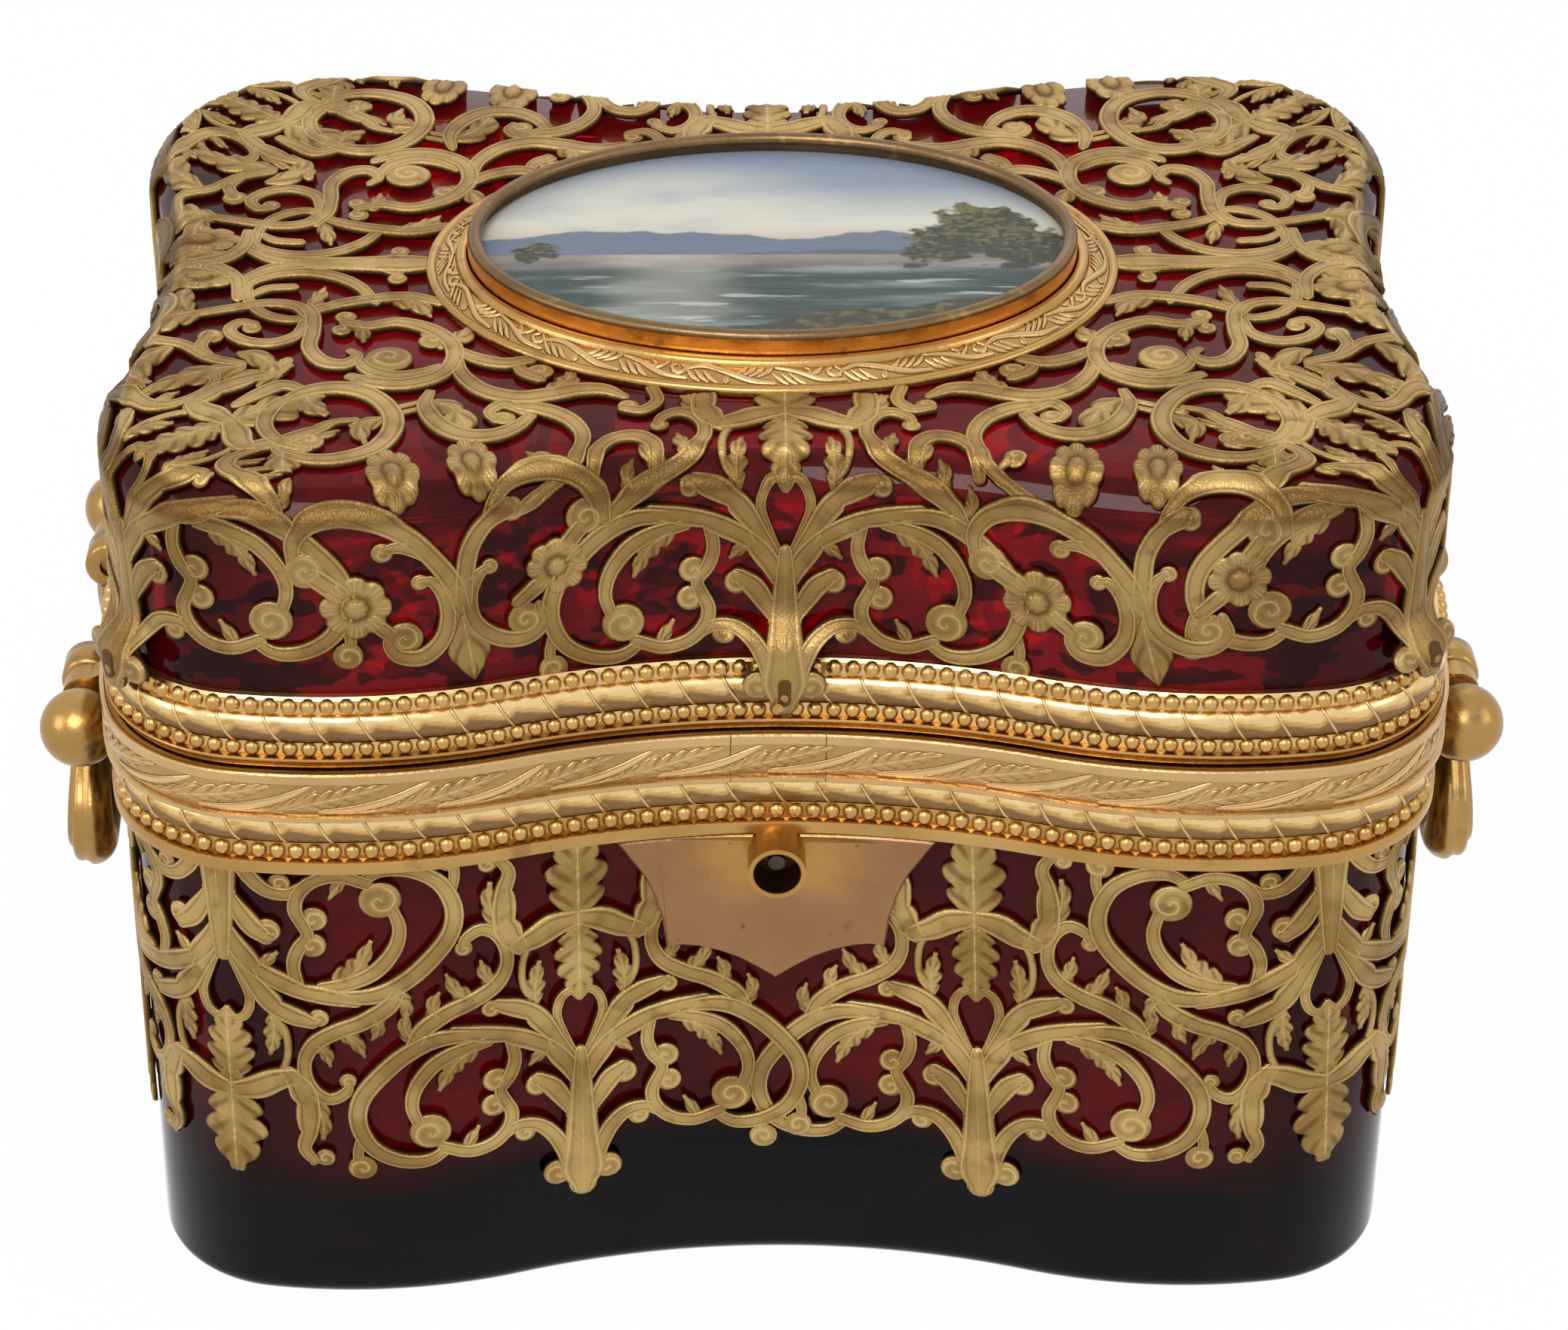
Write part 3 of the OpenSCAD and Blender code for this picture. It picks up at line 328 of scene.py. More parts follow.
# the palmette casting, its foot down: middle pieces, then the right half, which is mirrored
def palmetteParts(onTheLid=False, footPin=False):
    middle = [
        stroke([(0, 13.2, 2.8), (0, 14.4, 4.6), (0, 15.8, 5.6), (0, 17.6, 5), (0, 19.6, 4.3), (0, 22, 3.7),
                (0, 24.6, 3.3), (0, 27, 2.8), (0, 29.4, 2.3), (0, 31.6, 1.7)], dome=True),
        raised(leaf([(0, 18, .8), (0, 19.2, 1.9), (0, 20.6, 2), (0, 22.4, 1.3), (0, 24.4, .3)], 0), 0.36),
        knob(0, 13.3, 1.65, turns=0.8),
        leaf([(0, 48.4, 2), (0, 46.2, 4.8), (0, 43.6, 5), (0, 41.2, 3.8), (0, 38.6, .6)], 4),
        leaf([(0, 47, 3), (0, 49.4, 3.4), (0, 51.6, 5.2), (0, 54, 6.6), (0, 56.4, 6.4), (0, 58.6, 4.6),
              (0, 61, 1.6)], 4)]
    half = [
        knob(2.9, 15.3, 1.65, spin=-1),
        stroke([(1.6, 16, 1.6), (2.2, 18.6, 2), (3.4, 21, 2), (5.2, 22.7, 1.8), (7.4, 23, 1.6),
                (8.8, 22, 1.2)]),
        knob(6.5, 21.8, 1.25),
        stroke([(1.2, 23.6, 1.4), (2, 25.6, 2), (3.2, 27.6, 2.2), (4.8, 28.8, 1.9)], 1, -1),
        knob(4.9, 28, 1.5),
        stroke([(.4, 27.6, 1.6), (1.6, 30.6, 2.2), (3.8, 33.2, 2.2), (7, 35.2, 2.2), (10.4, 36.3, 2.1),
                (14, 37.1, 1.5)], 3, -1),
        leaf([(2.8, 32.8, 1.8), (4.4, 32.2, 1.8), (5.9, 30.8, .5)], 2),
        stroke([(10.4, 36.2, 1.3), (15.6, 36.4, 2.2), (19.1, 34.8, 2.3), (22.1, 32, 2.3), (24.3, 28.8, 2.2),
                (24.7, 25.5, 2.1), (23.3, 22.2, 2), (20.5, 20.3, 1.9), (17.4, 20, 1.7), (15.2, 21.3, 1.3)]),
        stroke([(24.4, 23.8, 1.3), (24.9, 21.6, 1.3), (24.8, 20.2, 1.3)]),
        knob(24.5, 19.4, 1.6, spin=-1),
        stroke([(10.4, 35.2, 1.4), (13.6, 34.5, 1.9), (16.3, 33, 2), (18.3, 30.3, 1.8), (18.9, 27.6, 1.6),
                (18.2, 25, 1.4)]),
        leaf([(11.8, 34.6, 2.2), (14.2, 32.8, 2.8), (15.9, 29.2, .5)], 3),
        knob(17, 23.9, 2.3, turns=1.5, spin=-1),
        stroke([(8, 35.2, 1.4), (7.5, 32.4, 1.6), (8.1, 30.2, 1.7), (9.2, 28.4, 1.5), (8.7, 26.8, 1.6),
                (8, 25, 1.7), (8.5, 22.9, 1.7), (10.2, 21.2, 1.7), (12.8, 20.6, 1.7), (15.6, 21.6, 1.6)]),
        knob(9.6, 29.7, 1.55),
        knob(9.9, 26.3, 1.5),
        leaf([(13.2, 21, 1.6), (12.4, 22.4, 1.3), (11.6, 23.8, .4)], 1),
        stroke([(.3, 30.4, 1), (1.7, 34, 1.1), (2.6, 37, 1.15), (2.1, 39.2, 1.15), (.9, 40, 1.1),
                (0, 39, .9)]),
        stroke([(.8, 30.8, 1.2), (2.8, 34.2, 1.9), (4.6, 37.2, 2.4), (6.8, 39, 2.2),
                (9.2, 39.9, 1.6)], 3, -1),
        knob(9.9, 39.4, 1.15),
        leaf([(5, 38.8, 1.1), (5, 41.6, 2.4), (4.4, 44.6, .6)], 3),
        stroke([(.5, 49.6, 2.2), (2.8, 49, 3.2), (4.8, 47.9, 3), (6.8, 47.2, 2.2)]),
        stroke([(5.2, 47.4, .9), (6.2, 45.2, 1), (6.4, 42.6, 1), (5.9, 40.6, 1), (4.9, 39.6, 1)]),
        stroke([(6.4, 46.8, 1.8), (7.9, 49, 2.8), (8.4, 52, 2.6), (8.2, 54.8, 2), (7.7, 57, 1.4),
                (8.6, 58.8, 1.2)], 3, 1),
        leaf([(8.2, 48.4, 1.4), (9.3, 51, 1.9), (9.8, 53.8, 1.9), (9.6, 56, .6)], 3),
        knob(9.8, 58.4, 1.1),
        stroke([(12.9, 47.6, .9), (12.5, 49.2, 1.4), (10.8, 50.2, 1.6), (9.2, 49.3, 1.6), (8.2, 47.2, 1.6),
                (8.2, 44.8, 1.7), (9.4, 42.6, 2), (11.8, 41, 2.1), (14.6, 39.8, 2.2), (17.4, 37.8, 2.2),
                (18.8, 35.4, 1.4)]),
        knob(12.7, 47.9, 1),
        leaf([(9.2, 42.4, 1.8), (10.4, 44, 1.9), (10.9, 46, .4)], 2),
        leaf([(12.2, 41, 1.9), (13.7, 42.6, 1.9), (14.7, 44.8, .4)], 2),
        leaf([(15.6, 38.8, 2.1), (16.2, 40.8, 1.9), (15.4, 42.5, .4)], 2),
        leaf([(18.2, 36.4, 2.1), (19.3, 38.2, 1.8), (18.8, 40.1, .4)], 2)]
    if footPin:  # the slot in its foot, with the pin's head
        p, f, m = stroke([(0, 13.7, 1.4), (0, 15.6, 1.4)])
        # the slot has no painted light, so it is painted dark as shade
        middle.append((np.column_stack([p[:, :2], 0.3 + (p[:, 2] > 0.1) * 0.8]), f, m * 0))
        middle.append(raised(knob(0, 14, .5), 0.7, 0.85))
    if onTheLid:
        half.append(stroke([(13.4, 40.6, 1.4), (13.1, 43.4, 1.8), (14.9, 45.7, 2), (17.4, 45.5, 2),
                            (19.1, 43.2, 1.8), (19.8, 40.8, 1.4)]))
    return middle + bothSides(half)


# the flower casting; its middle lies 33.65 mm from the lid's, at height 92.7
def flowerParts():
    tall = []
    for x, y, rx, ry in ((-5.8, 106.2, 2.9, 4.6), (2.8, 106.6, 2.7, 4.7)):
        p, f, m = knob(0, 0, 1, petals=8)
        deep = (p[:, 2] - castStroke["bottom"]) * 1.5 + castStroke["bottom"]
        tall.append((np.column_stack([p[:, 0] * rx + x, p[:, 1] * ry + y, deep]), f, m))
    return tall + [
        leaf([(.3, 90.6, 1.2), (.5, 88, 2.4), (.8, 86.2, 4), (1, 84.8, 4), (1.2, 83.2, 2.4),
              (1.4, 81.6, .2)], 0),
        stroke([(-3.9, 94.2, 1), (-2.6, 94, 1.4), (-1.5, 92.2, 1.7), (-1.2, 89.6, 1.8), (-1.9, 87, 2),
                (-3.9, 85.2, 2.1), (-6.4, 85.6, 1.8), (-7.3, 87.4, 1.4), (-6.2, 88.6, 1)]),
        knob(-5.7, 87.5, 1.95, turns=1.6),
        knob(-3.9, 94, .95),
        stroke([(3.2, 95, 1), (2.2, 94.4, 1.4), (1.2, 92.4, 1.7), (1.2, 89.8, 1.8), (2.2, 87.8, 2),
                (4.4, 86.2, 2.1), (7, 85.9, 1.9), (8.8, 87.3, 1.6), (8.4, 89.4, 1.2)]),
        knob(6.9, 88, 1.95, turns=1.6, spin=-1),
        knob(3.3, 94.9, .95),
        stroke([(-7.2, 88.2, 1.7), (-8.8, 89.8, 1.8)]),
        stroke([(6.2, 90.2, 1.7), (8.2, 91.8, 2)]),
        knob(-10.5, 91.5, 3.7, petals=8),
        knob(10.4, 93.8, 3.3, petals=8),
        knob(-15.4, 96, 2.1, turns=1.6),
        stroke([(-14.4, 95.2, 2.4), (-12.2, 93.4, 2.4)]),
        stroke([(-16.6, 97, 1.4), (-16.4, 99.6, 2), (-14.6, 101.6, 2.4), (-11.5, 102.2, 2.5),
                (-8, 101.4, 2.4), (-4.8, 99.4, 2.3), (-2.4, 96.6, 2.2), (-.6, 93.6, 2.3), (.2, 90.6, 1.9)]),
        stroke([(-7.4, 98.2, 1.1), (-5.6, 98.4, 1.5), (-3.4, 97.2, 1.4), (-2, 95.4, 1)]),
        knob(-7.6, 97.8, 1.15),
        stroke([(.4, 91.2, 1.9), (.7, 94.6, 2.1), (1.3, 97.6, 2.1), (3, 100.2, 2), (5.4, 101.3, 1.7)]),
        knob(5.9, 101, 1.15),
        stroke([(3, 100.6, 1.3), (5.6, 103.4, 1.9), (9, 104.3, 2.4), (12.4, 103.6, 2.6), (14.8, 101.4, 2.5),
                (15.3, 98.8, 1.9)]),
        knob(13.5, 99.2, 2.1, turns=1.6, spin=-1),
        stroke([(12.8, 98, 2), (11.4, 96.2, 2)]),
        leaf([(8, 103.8, 1.2), (9.2, 105.4, 1.6), (8.6, 107, .4)], 2)]


# a quarter of the top's pierced work, where x and y are both above 0
def topParts():
    return [
        stroke([(51, 30.4, 1.4), (48.4, 28.6, 2.2), (45, 28.2, 2.5), (42, 30, 2.4), (40, 33.6, 2.4),
                (39.8, 37.4, 2.4), (41.4, 41, 2.4), (44.6, 43, 2.2), (48, 43.2, 1.9), (50.8, 41.8, 1.6),
                (51.8, 40, 1.2)]),
        stroke([(50.2, 29.8, 1.3), (52.3, 32.4, 2), (53, 36, 2), (51.6, 39.2, 1.9), (49.4, 40.6, 1.6)]),
        knob(48.3, 39.3, 1.7),
        leaf([(49.4, 29.6, 2), (48.4, 31.8, 3), (46.6, 33.6, .8)], 2),
        leaf([(40.6, 34.6, 1.6), (43, 36.4, 2.6), (42.4, 39.6, .5)], 2),
        stroke([(39.4, 32, .8), (36.5, 30.7, .8)]),
        stroke([(39.7, 33.5, .8), (36.8, 32.2, .8)]),
        stroke([(36.2, 29, 1.2), (36.6, 32.2, 1.9), (35, 36, 2.5), (32.4, 38.2, 2.6), (29.4, 38.3, 2.4),
                (27, 36.6, 2), (25.6, 34.2, 1.4)]),
        leaf([(36.4, 31, 1.6), (34, 32.6, 3.4), (32.5, 35.6, 3), (32.2, 37.6, .8)], 2),
        stroke([(27, 32.2, 1.6), (24, 33, 2.3), (21.4, 35.2, 2.1), (20.1, 38.6, 1.8), (20.8, 42.2, 1.6),
                (23, 45.2, 1.5), (26.4, 48.2, 1.1)]),
        knob(24.2, 42.6, 1.2),
        stroke([(22, 44, 1), (23.4, 43, 1.1)]),
        stroke([(26, 33.4, 1.4), (28.4, 31.8, 1.7), (29.9, 33.4, 1.4), (29.2, 35, 1.2)]),
        knob(28.4, 34.4, 1.3),
        stroke([(33.6, 22, 1.3), (33, 25.4, 2), (30.6, 28.8, 2.4), (27, 30.3, 2.6), (23.6, 29.6, 2.6),
                (20.8, 28.6, 2.5), (18.2, 28.6, 2.1), (15.9, 30, 1)]),
        leaf([(23.6, 29, 2.6), (22, 26.8, 2.6), (21.6, 24.8, 1.4)], 2),
        stroke([(34, 19.6, 1.3), (31.6, 21.8, 2), (28.6, 22.9, 2.1), (26, 22.1, 1.6)]),
        stroke([(27.4, 22.6, 1.2), (26.6, 24.8, 1.7), (25, 26, 1.8)]),
        knob(24.9, 24.4, 1.5),
        leaf([(36, 19, 1.4), (33.6, 17, 2.6), (32.6, 14.6, 1)], 2),
        stroke([(46, 13.6, 1.4), (43.4, 14.4, 1.6), (40.2, 13.6, 1.8), (36.8, 15.2, 2.1), (34.6, 18, 2.1),
                (33.9, 21.4, 2.1), (35, 25, 2.1), (38.2, 27.2, 2.3), (41.8, 27.2, 2.2), (44.8, 25.6, 1.3)]),
        knob(36.5, 17.6, 1.5),
        stroke([(35.4, 15.8, 1.2), (37.2, 16.2, 1.2)]),
        stroke([(44.2, 21.6, 1.2), (43, 24.2, 1.8), (40.2, 25.7, 2), (37.4, 25, 1.7), (35.4, 23.4, 1.1)]),
        knob(40.9, 21.8, 2.6, turns=1.8),
        stroke([(43.4, 26, 1.3), (44.6, 28.4, 1.7)]),
        knob(46, 12.1, 1.2), knob(46.3, 15, 1.1),
        leaf([(44.8, 13.2, 1.6), (44, 15.6, 1.9), (43.8, 17.6, .4)], 2),
        stroke([(50.4, 10, 1.6), (49.5, 12.4, 1.9), (49.3, 16, 1.9), (49.4, 19.4, 1.9), (47.8, 22.4, 2.1),
                (45.4, 23, 1.9), (44.2, 21.2, 1.4), (45.1, 19.9, 1)]),
        stroke([(50, 11.2, 1.3), (46.8, 9.4, 1.7), (43, 8.2, 1.8), (39.4, 7.8, 1.8), (36, 9, 1.5)]),
        leaf([(41, 8.2, 1.8), (38.2, 9.8, 2.4), (36.8, 12, .3)], 2),
        stroke([(57, 5.4, 1.2), (56.6, 8.6, 1.4), (54.8, 11.6, 1.5), (52, 12.9, 1.4), (49.8, 12.4, 1.1)]),
        stroke([(63.2, 11.8, 1.2), (58.2, 10.2, 1.5), (54.6, 9.2, 1.6), (51.6, 9.8, 1.7), (50, 12, 1.7)]),
        stroke([(50.2, 13.4, 1.4), (51, 16.6, 1.6), (53.6, 18.3, 1.7), (56.6, 17.6, 1.7), (58.2, 15.4, 1.6),
                (57.2, 13.5, 1.4), (55.6, 13.8, 1.1)]),
        knob(55.9, 14.5, 1.1),
        stroke([(57.7, 7.6, 1.3), (56.9, 4.6, 1.4), (54.6, 2.7, 1.6), (51.2, 2, 1.7), (47.8, 2.9, 1.7),
                (45, 5.2, 1.6), (43, 8.8, 1.2)]),
        stroke([(56.8, 7.6, 1), (54.8, 5.7, 1.3), (52, 5.3, 1.2)]),
        stroke([(57.9, 7.8, 1.4), (58.3, 3.8, 1.8), (60.6, 1, 2.1), (64.4, 0, 2.1), (67.4, 0, 1.7)]),
        leaf([(59.2, 2, 1.2), (63.2, 2.8, 3.4), (66.6, 4, 1)], 3),
        stroke([(57.5, 3.4, 1.3), (54.6, 1.1, 1.9), (50.6, .2, 2.3), (45, .2, 2.6), (40.6, .5, 2.8),
                (38.2, .4, 2.2)]),
        knob(40.9, 3.2, 1.1),
        stroke([(42.4, 1.2, 1.2), (40.8, 2.2, 1.2)]),
        leaf([(50, 10.2, 1), (49.2, 7.6, 2), (48.6, 5, .3)], 2),
        leaf([(62.8, 11.4, 1.2), (63.9, 8.2, 3), (63.2, 4.8, .4)], 2),
        leaf([(61.6, 11.2, 1.6), (64.6, 12.2, 4.4), (67.4, 13.2, 4.6), (69.6, 14.2, 1.4)], 3),
        stroke([(66, 13.6, 1.6), (66.2, 17, 1.7), (62.8, 18.5, 1.6), (59.9, 21.4, 1.6), (56.4, 22.8, 1.3)]),
        stroke([(59.4, 21.8, 1.2), (60.9, 19, 1.5), (60.3, 16.6, 1.6)]),
        knob(60.1, 16.4, 1.45),
        leaf([(57, 20.2, 1.2), (54.8, 21.2, 2.8), (53, 24.2, 2.6), (54.4, 27.4, .4)], 2),
        leaf([(55.8, 23.4, 1.2), (59.4, 24.4, 3.8), (62.8, 26.2, 3), (65.8, 28.8, .8)], 3),
        leaf([(64, 18.6, 1.4), (66.4, 21.6, 3), (67.4, 25, 3), (66.2, 27.6, .6)], 2),
        stroke([(49.4, 28.4, 1.2), (51.8, 27.6, 2), (54, 29.4, 1.9), (56.2, 31.6, 1.2)]),
        leaf([(50.6, 41.2, 1.4), (50.6, 43.6, 3.8), (50.4, 45.6, 2)], 2),
        stroke([(13, 28.4, 1.5), (12.5, 31, 1.5), (14, 33, 1.5), (16, 32.5, 1.3)]),
        knob(15.5, 31.8, 1.15)]


# where the camera stands
viewpoint = {"lens": 108.946, "sensor": 36, "distance": 0.555788, "elevation": 0.58, "turn": 0.0198,
             "roll": 0.0072, "aimHeight": 0.03955, "shiftX": 0.00966, "shiftY": 0.061, "near": 0.02,
             "far": 20}


def setCamera(v):
    ce, ct, cr = [math.cos(v[key]) for key in ("elevation", "turn", "roll")]
    se, st, sr = [math.sin(v[key]) for key in ("elevation", "turn", "roll")]
    ahead, right, up = Vector((ce * st, ce * ct, -se)), Vector((ct, -st, 0)), Vector((se * st, se * ct, ce))
    right, up = right * cr + up * sr, up * cr - right * sr
    lens = bpy.data.cameras.new("camera")
    lens.sensor_width, lens.lens, lens.clip_start, lens.clip_end = v["sensor"], v["lens"], v["near"], v["far"]
    lens.shift_x, lens.shift_y = v["shiftX"], v["shiftY"]
    camera = newPiece("camera", lens)
    turn = Matrix((right, up, -ahead)).transposed().to_4x4()
    camera.matrix_world = Matrix.Translation(Vector((0, 0, v["aimHeight"])) - ahead * v["distance"]) @ turn
    bpy.context.scene.camera = camera


def linear(shade):  # from a screen's 0 to 255
    return shade / 255 / 12.92 if shade < 10 else ((shade / 255 + 0.055) / 1.055) ** 2.4


def tinted(look):  # a look with its screen colours as the linear ones that sockets take
    return {key: (*map(linear, value), 1.0) if np.size(value) == 3 else value for key, value in look.items()}


class Value:  # a socket's value, so that sums in a material read as sums
    def __init__(self, graph, socket):
        self.graph, self.socket = graph, socket


for sign, operation in (("add", "ADD"), ("sub", "SUBTRACT"), ("mul", "MULTIPLY"), ("pow", "POWER")):
    setattr(Value, f"__{sign}__", lambda a, b, kind=operation: a.graph.maths(kind, a, b))
    setattr(Value, f"__r{sign}__", lambda a, b, kind=operation: a.graph.maths(kind, b, a))


class Graph:  # the nodes of a material or of the world
    def __init__(self, owner):
        owner.use_nodes = True
        self.owner, self.tree = owner, owner.node_tree
        self.tree.nodes.clear()

    def node(self, kind, settings=None, sockets=None, out=0):
        made = self.tree.nodes.new(kind)
        for key, value in (settings or {}).items():
            setattr(made, key, value)
        for key, value in (sockets or {}).items():
            if isinstance(value, Value):
                self.tree.links.new(value.socket, made.inputs[key])
            else:
                made.inputs[key].default_value = value
        return Value(self, made.outputs[out]) if len(made.outputs) else None

    def maths(self, operation, a, b=0.0):
        return self.node("ShaderNodeMath", {"operation": operation}, {0: a, 1: b})

    def mix(self, share, a, b, blend="MIX"):
        settings = {"data_type": "RGBA", "blend_type": blend}
        return self.node("ShaderNodeMix", settings, {0: share, 6: a, 7: b}, 2)

    def ramp(self, value, *stops):
        shade = self.node("ShaderNodeValToRGB", None, {0: value}, "Color")
        points = shade.socket.node.color_ramp.elements
        while len(points) < len(stops):
            points.new(0.5)
        for point, (position, tint) in zip(points, stops):
            point.position, point.color = position, tint
        return shade

    def rise(self, value, low, high):  # 0 at low, 1 at high
        return self.node("ShaderNodeMapRange", {"clamp": True, "interpolation_type": "SMOOTHSTEP"},
                         {0: value, 1: low, 2: high, 3: 0.0, 4: 1.0})

    def noise(self, scale, detail=3.0, place=None, rough=0.5):
        return self.node("ShaderNodeTexNoise", None, {"Vector": place or self.place(), "Scale": scale,
                                                      "Detail": detail, "Roughness": rough})

    def place(self):
        return self.node("ShaderNodeTexCoord", None, None, "Object")

    def join(self, x, y, z):
        return self.node("ShaderNodeCombineXYZ", None, {0: x, 1: y, 2: z})

    def axis(self, letter):
        return self.node("ShaderNodeSeparateXYZ", None, {0: self.place()}, letter)

    def reach(self, x, y):
        return self.maths("SQRT", x ** 2.0 + y ** 2.0)

    def finish(self, sockets, bump=None, strength=0.0, distance=0.0):
        if bump is not None:
            sockets = dict(sockets, Normal=self.node("ShaderNodeBump", None, {
                "Strength": strength, "Distance": distance, "Height": bump}))
        shader = self.node("ShaderNodeBsdfPrincipled", None, sockets, "BSDF")
        self.node("ShaderNodeOutputMaterial", None, {"Surface": shader})
        return self.owner


def gilding(name, look):  # gilt metal; cast pieces carry a "relief" value, from which their hollows get painted shade and their lips painted highlights
    g = Graph(bpy.data.materials.new(name))
    spread = look.get("spread", 0.5)  # how far the clouds stray before they are fully deep or pale
    tone = g.mix(g.rise(g.noise(look["cloud"], 4.0), 0.5 - spread, 0.5 + spread), look["deep"], look["pale"])
    worn = g.rise(g.noise(look["cloud"] * 2.7, 5.0), look["wear"], look["wear"] + 0.14)
    tone = g.mix(worn * look["wearShare"], tone, look["worn"])
    if "haze" in look:  # warmer round the key's barrel, painted dark as shade in its bore, and spotted
        x, z = g.axis("X"), g.axis("Z") - look["barrelZ"]
        reach = g.reach(x * 70.0, z * 110.0) + 0.5 * g.noise(260.0)
        tone = g.mix(g.rise(reach, 1.15, 0.3) * 0.8, tone, look["haze"])
        tone = g.mix(g.rise(x ** 2.0 + z ** 2.0, 7e-6, 6.4e-6) * 0.8, tone, look["bore"])
        tone = g.mix(g.rise(g.noise(700.0, 1.0), 0.72, 0.78) * 0.5, tone, look["spots"])
    fine = g.noise(look["grain"])
    rough = look["rough"] + 0.16 * (fine - 0.5) + 0.1 * worn
    if "edge" in look:
        # painted shade in the hollows, where the painted light is low, and painted highlights on the lips,
        # where it is high
        relief = g.node("ShaderNodeAttribute", {"attribute_name": "relief"}, None, "Fac")
        hollow = g.rise(relief + 0.12 * (fine - 0.5), 0.86, 0.36)
        tone = g.mix(hollow * 0.85, tone, look["hollow"])
        tone = g.mix(g.rise(relief, 0.93, 1.02) * 0.6, tone, look["edge"])
        rough = rough + 0.2 * hollow
    if "shade" in look:  # painted shade, darker on the lid's wall and darkest on its bevel
        z = g.axis("Z")
        paintedWallShade = g.rise(z, *look["topEdge"]) * (0.4 + g.rise(z, *look["bevelEdge"]))
        tone = g.mix(paintedWallShade * look["shade"], tone, look["hollow"])
    return g.finish({"Base Color": tone, "Metallic": 1.0, "Roughness": rough}, fine, look["bump"], 0.0002)


# a gilding's deep and pale clouds and its worn tone, where the wear starts and how much of it shows, how fine
# the clouds and the grain are, its roughness and its bumps
columns = ("deep", "pale", "worn", "wear", "wearShare", "cloud", "grain", "rough", "bump")
gilt = {
    "matt": ((146, 114, 64), (192, 160, 102), (132, 98, 60), 0.56, 0.6, 105, 3600, 0.4, 0.55),
    "bright": ((166, 126, 68), (204, 164, 102), (142, 104, 66), 0.6, 0.6, 90, 1400, 0.26, 0.14),
    "strand": ((190, 146, 82), (220, 180, 116), (170, 126, 76), 0.58, 0.5, 300, 1400, 0.22, 0.16),
    "rib": ((196, 160, 104), (228, 196, 140), (150, 112, 68), 0.62, 0.5, 200, 1400, 0.3, 0.1),
    "bead": ((176, 136, 76), (212, 172, 108), (150, 110, 66), 0.6, 0.6, 220, 1400, 0.3, 0.1),
    "chased": ((170, 132, 82), (202, 164, 112), (150, 112, 76), 0.58, 0.5, 90, 1800, 0.28, 0.25),
    "plate": ((142, 102, 70), (166, 124, 86), (120, 86, 60), 0.62, 0.6, 110, 1500, 0.4, 0.3),
    "bezel": ((206, 136, 62), (240, 182, 100), (140, 84, 34), 0.58, 0.7, 120, 1600, 0.24, 0.1),
    "rolledRim": ((104, 80, 54), (138, 110, 76), (176, 144, 94), 0.6, 0.6, 140, 1600, 0.34, 0.2),
    "handle": ((150, 114, 62), (188, 150, 90), (116, 98, 74), 0.55, 0.85, 70, 1400, 0.3, 0.2),
    "steel": ((50, 44, 40), (92, 82, 74), (76, 54, 40), 0.56, 0.7, 90, 2200, 0.38, 0.3)}
gilt = {name: dict(zip(columns, row)) for name, row in gilt.items()}
# hollow is the tone of painted shade in the cast pieces' hollows, and edge the tone of their painted
# highlights
gilt["matt"].update(hollow=(84, 58, 28), edge=(232, 202, 138), spread=0.19)
gilt["strand"].update(hollow=(122, 94, 66), edge=(250, 222, 164))
gilt["chased"].update(hollow=(96, 66, 36), edge=(240, 208, 150))
gilt["plate"].update(haze=(196, 150, 74), bore=(40, 26, 16), spots=(84, 60, 46), barrelZ=0.0573)
# the matt gilding with painted shade on the lid's wall and bevel
gilt["lidMatt"] = dict(gilt["matt"], shade=0.55, topEdge=(0.1045, 0.1036), bevelEdge=(0.1, 0.102))
finishes = {name: gilding(name + "Gilt", tinted(look)) for name, look in gilt.items()}

# mottle, lower and foot are tones of painted shade, and so is thick on the bevel
ruby = {"clear": (255, 32, 52), "deep": (190, 18, 34), "mottle": (62, 8, 14), "thick": (44, 10, 16),
        "lower": (190, 150, 150), "foot": (12, 5, 6), "footEdge": (0.024, 0.013), "lidEdge": (0.074, 0.07),
        "paintedShadowFoot": (0.072, 0.076), "paintedShadowTop": (0.0985, 0.096), "bevelFoot": (0.0985, 0.1),
        "bevelTop": (0.1045, 0.1035), "cornerEdge": (0.044, 0.06), "clearness": 0.84}


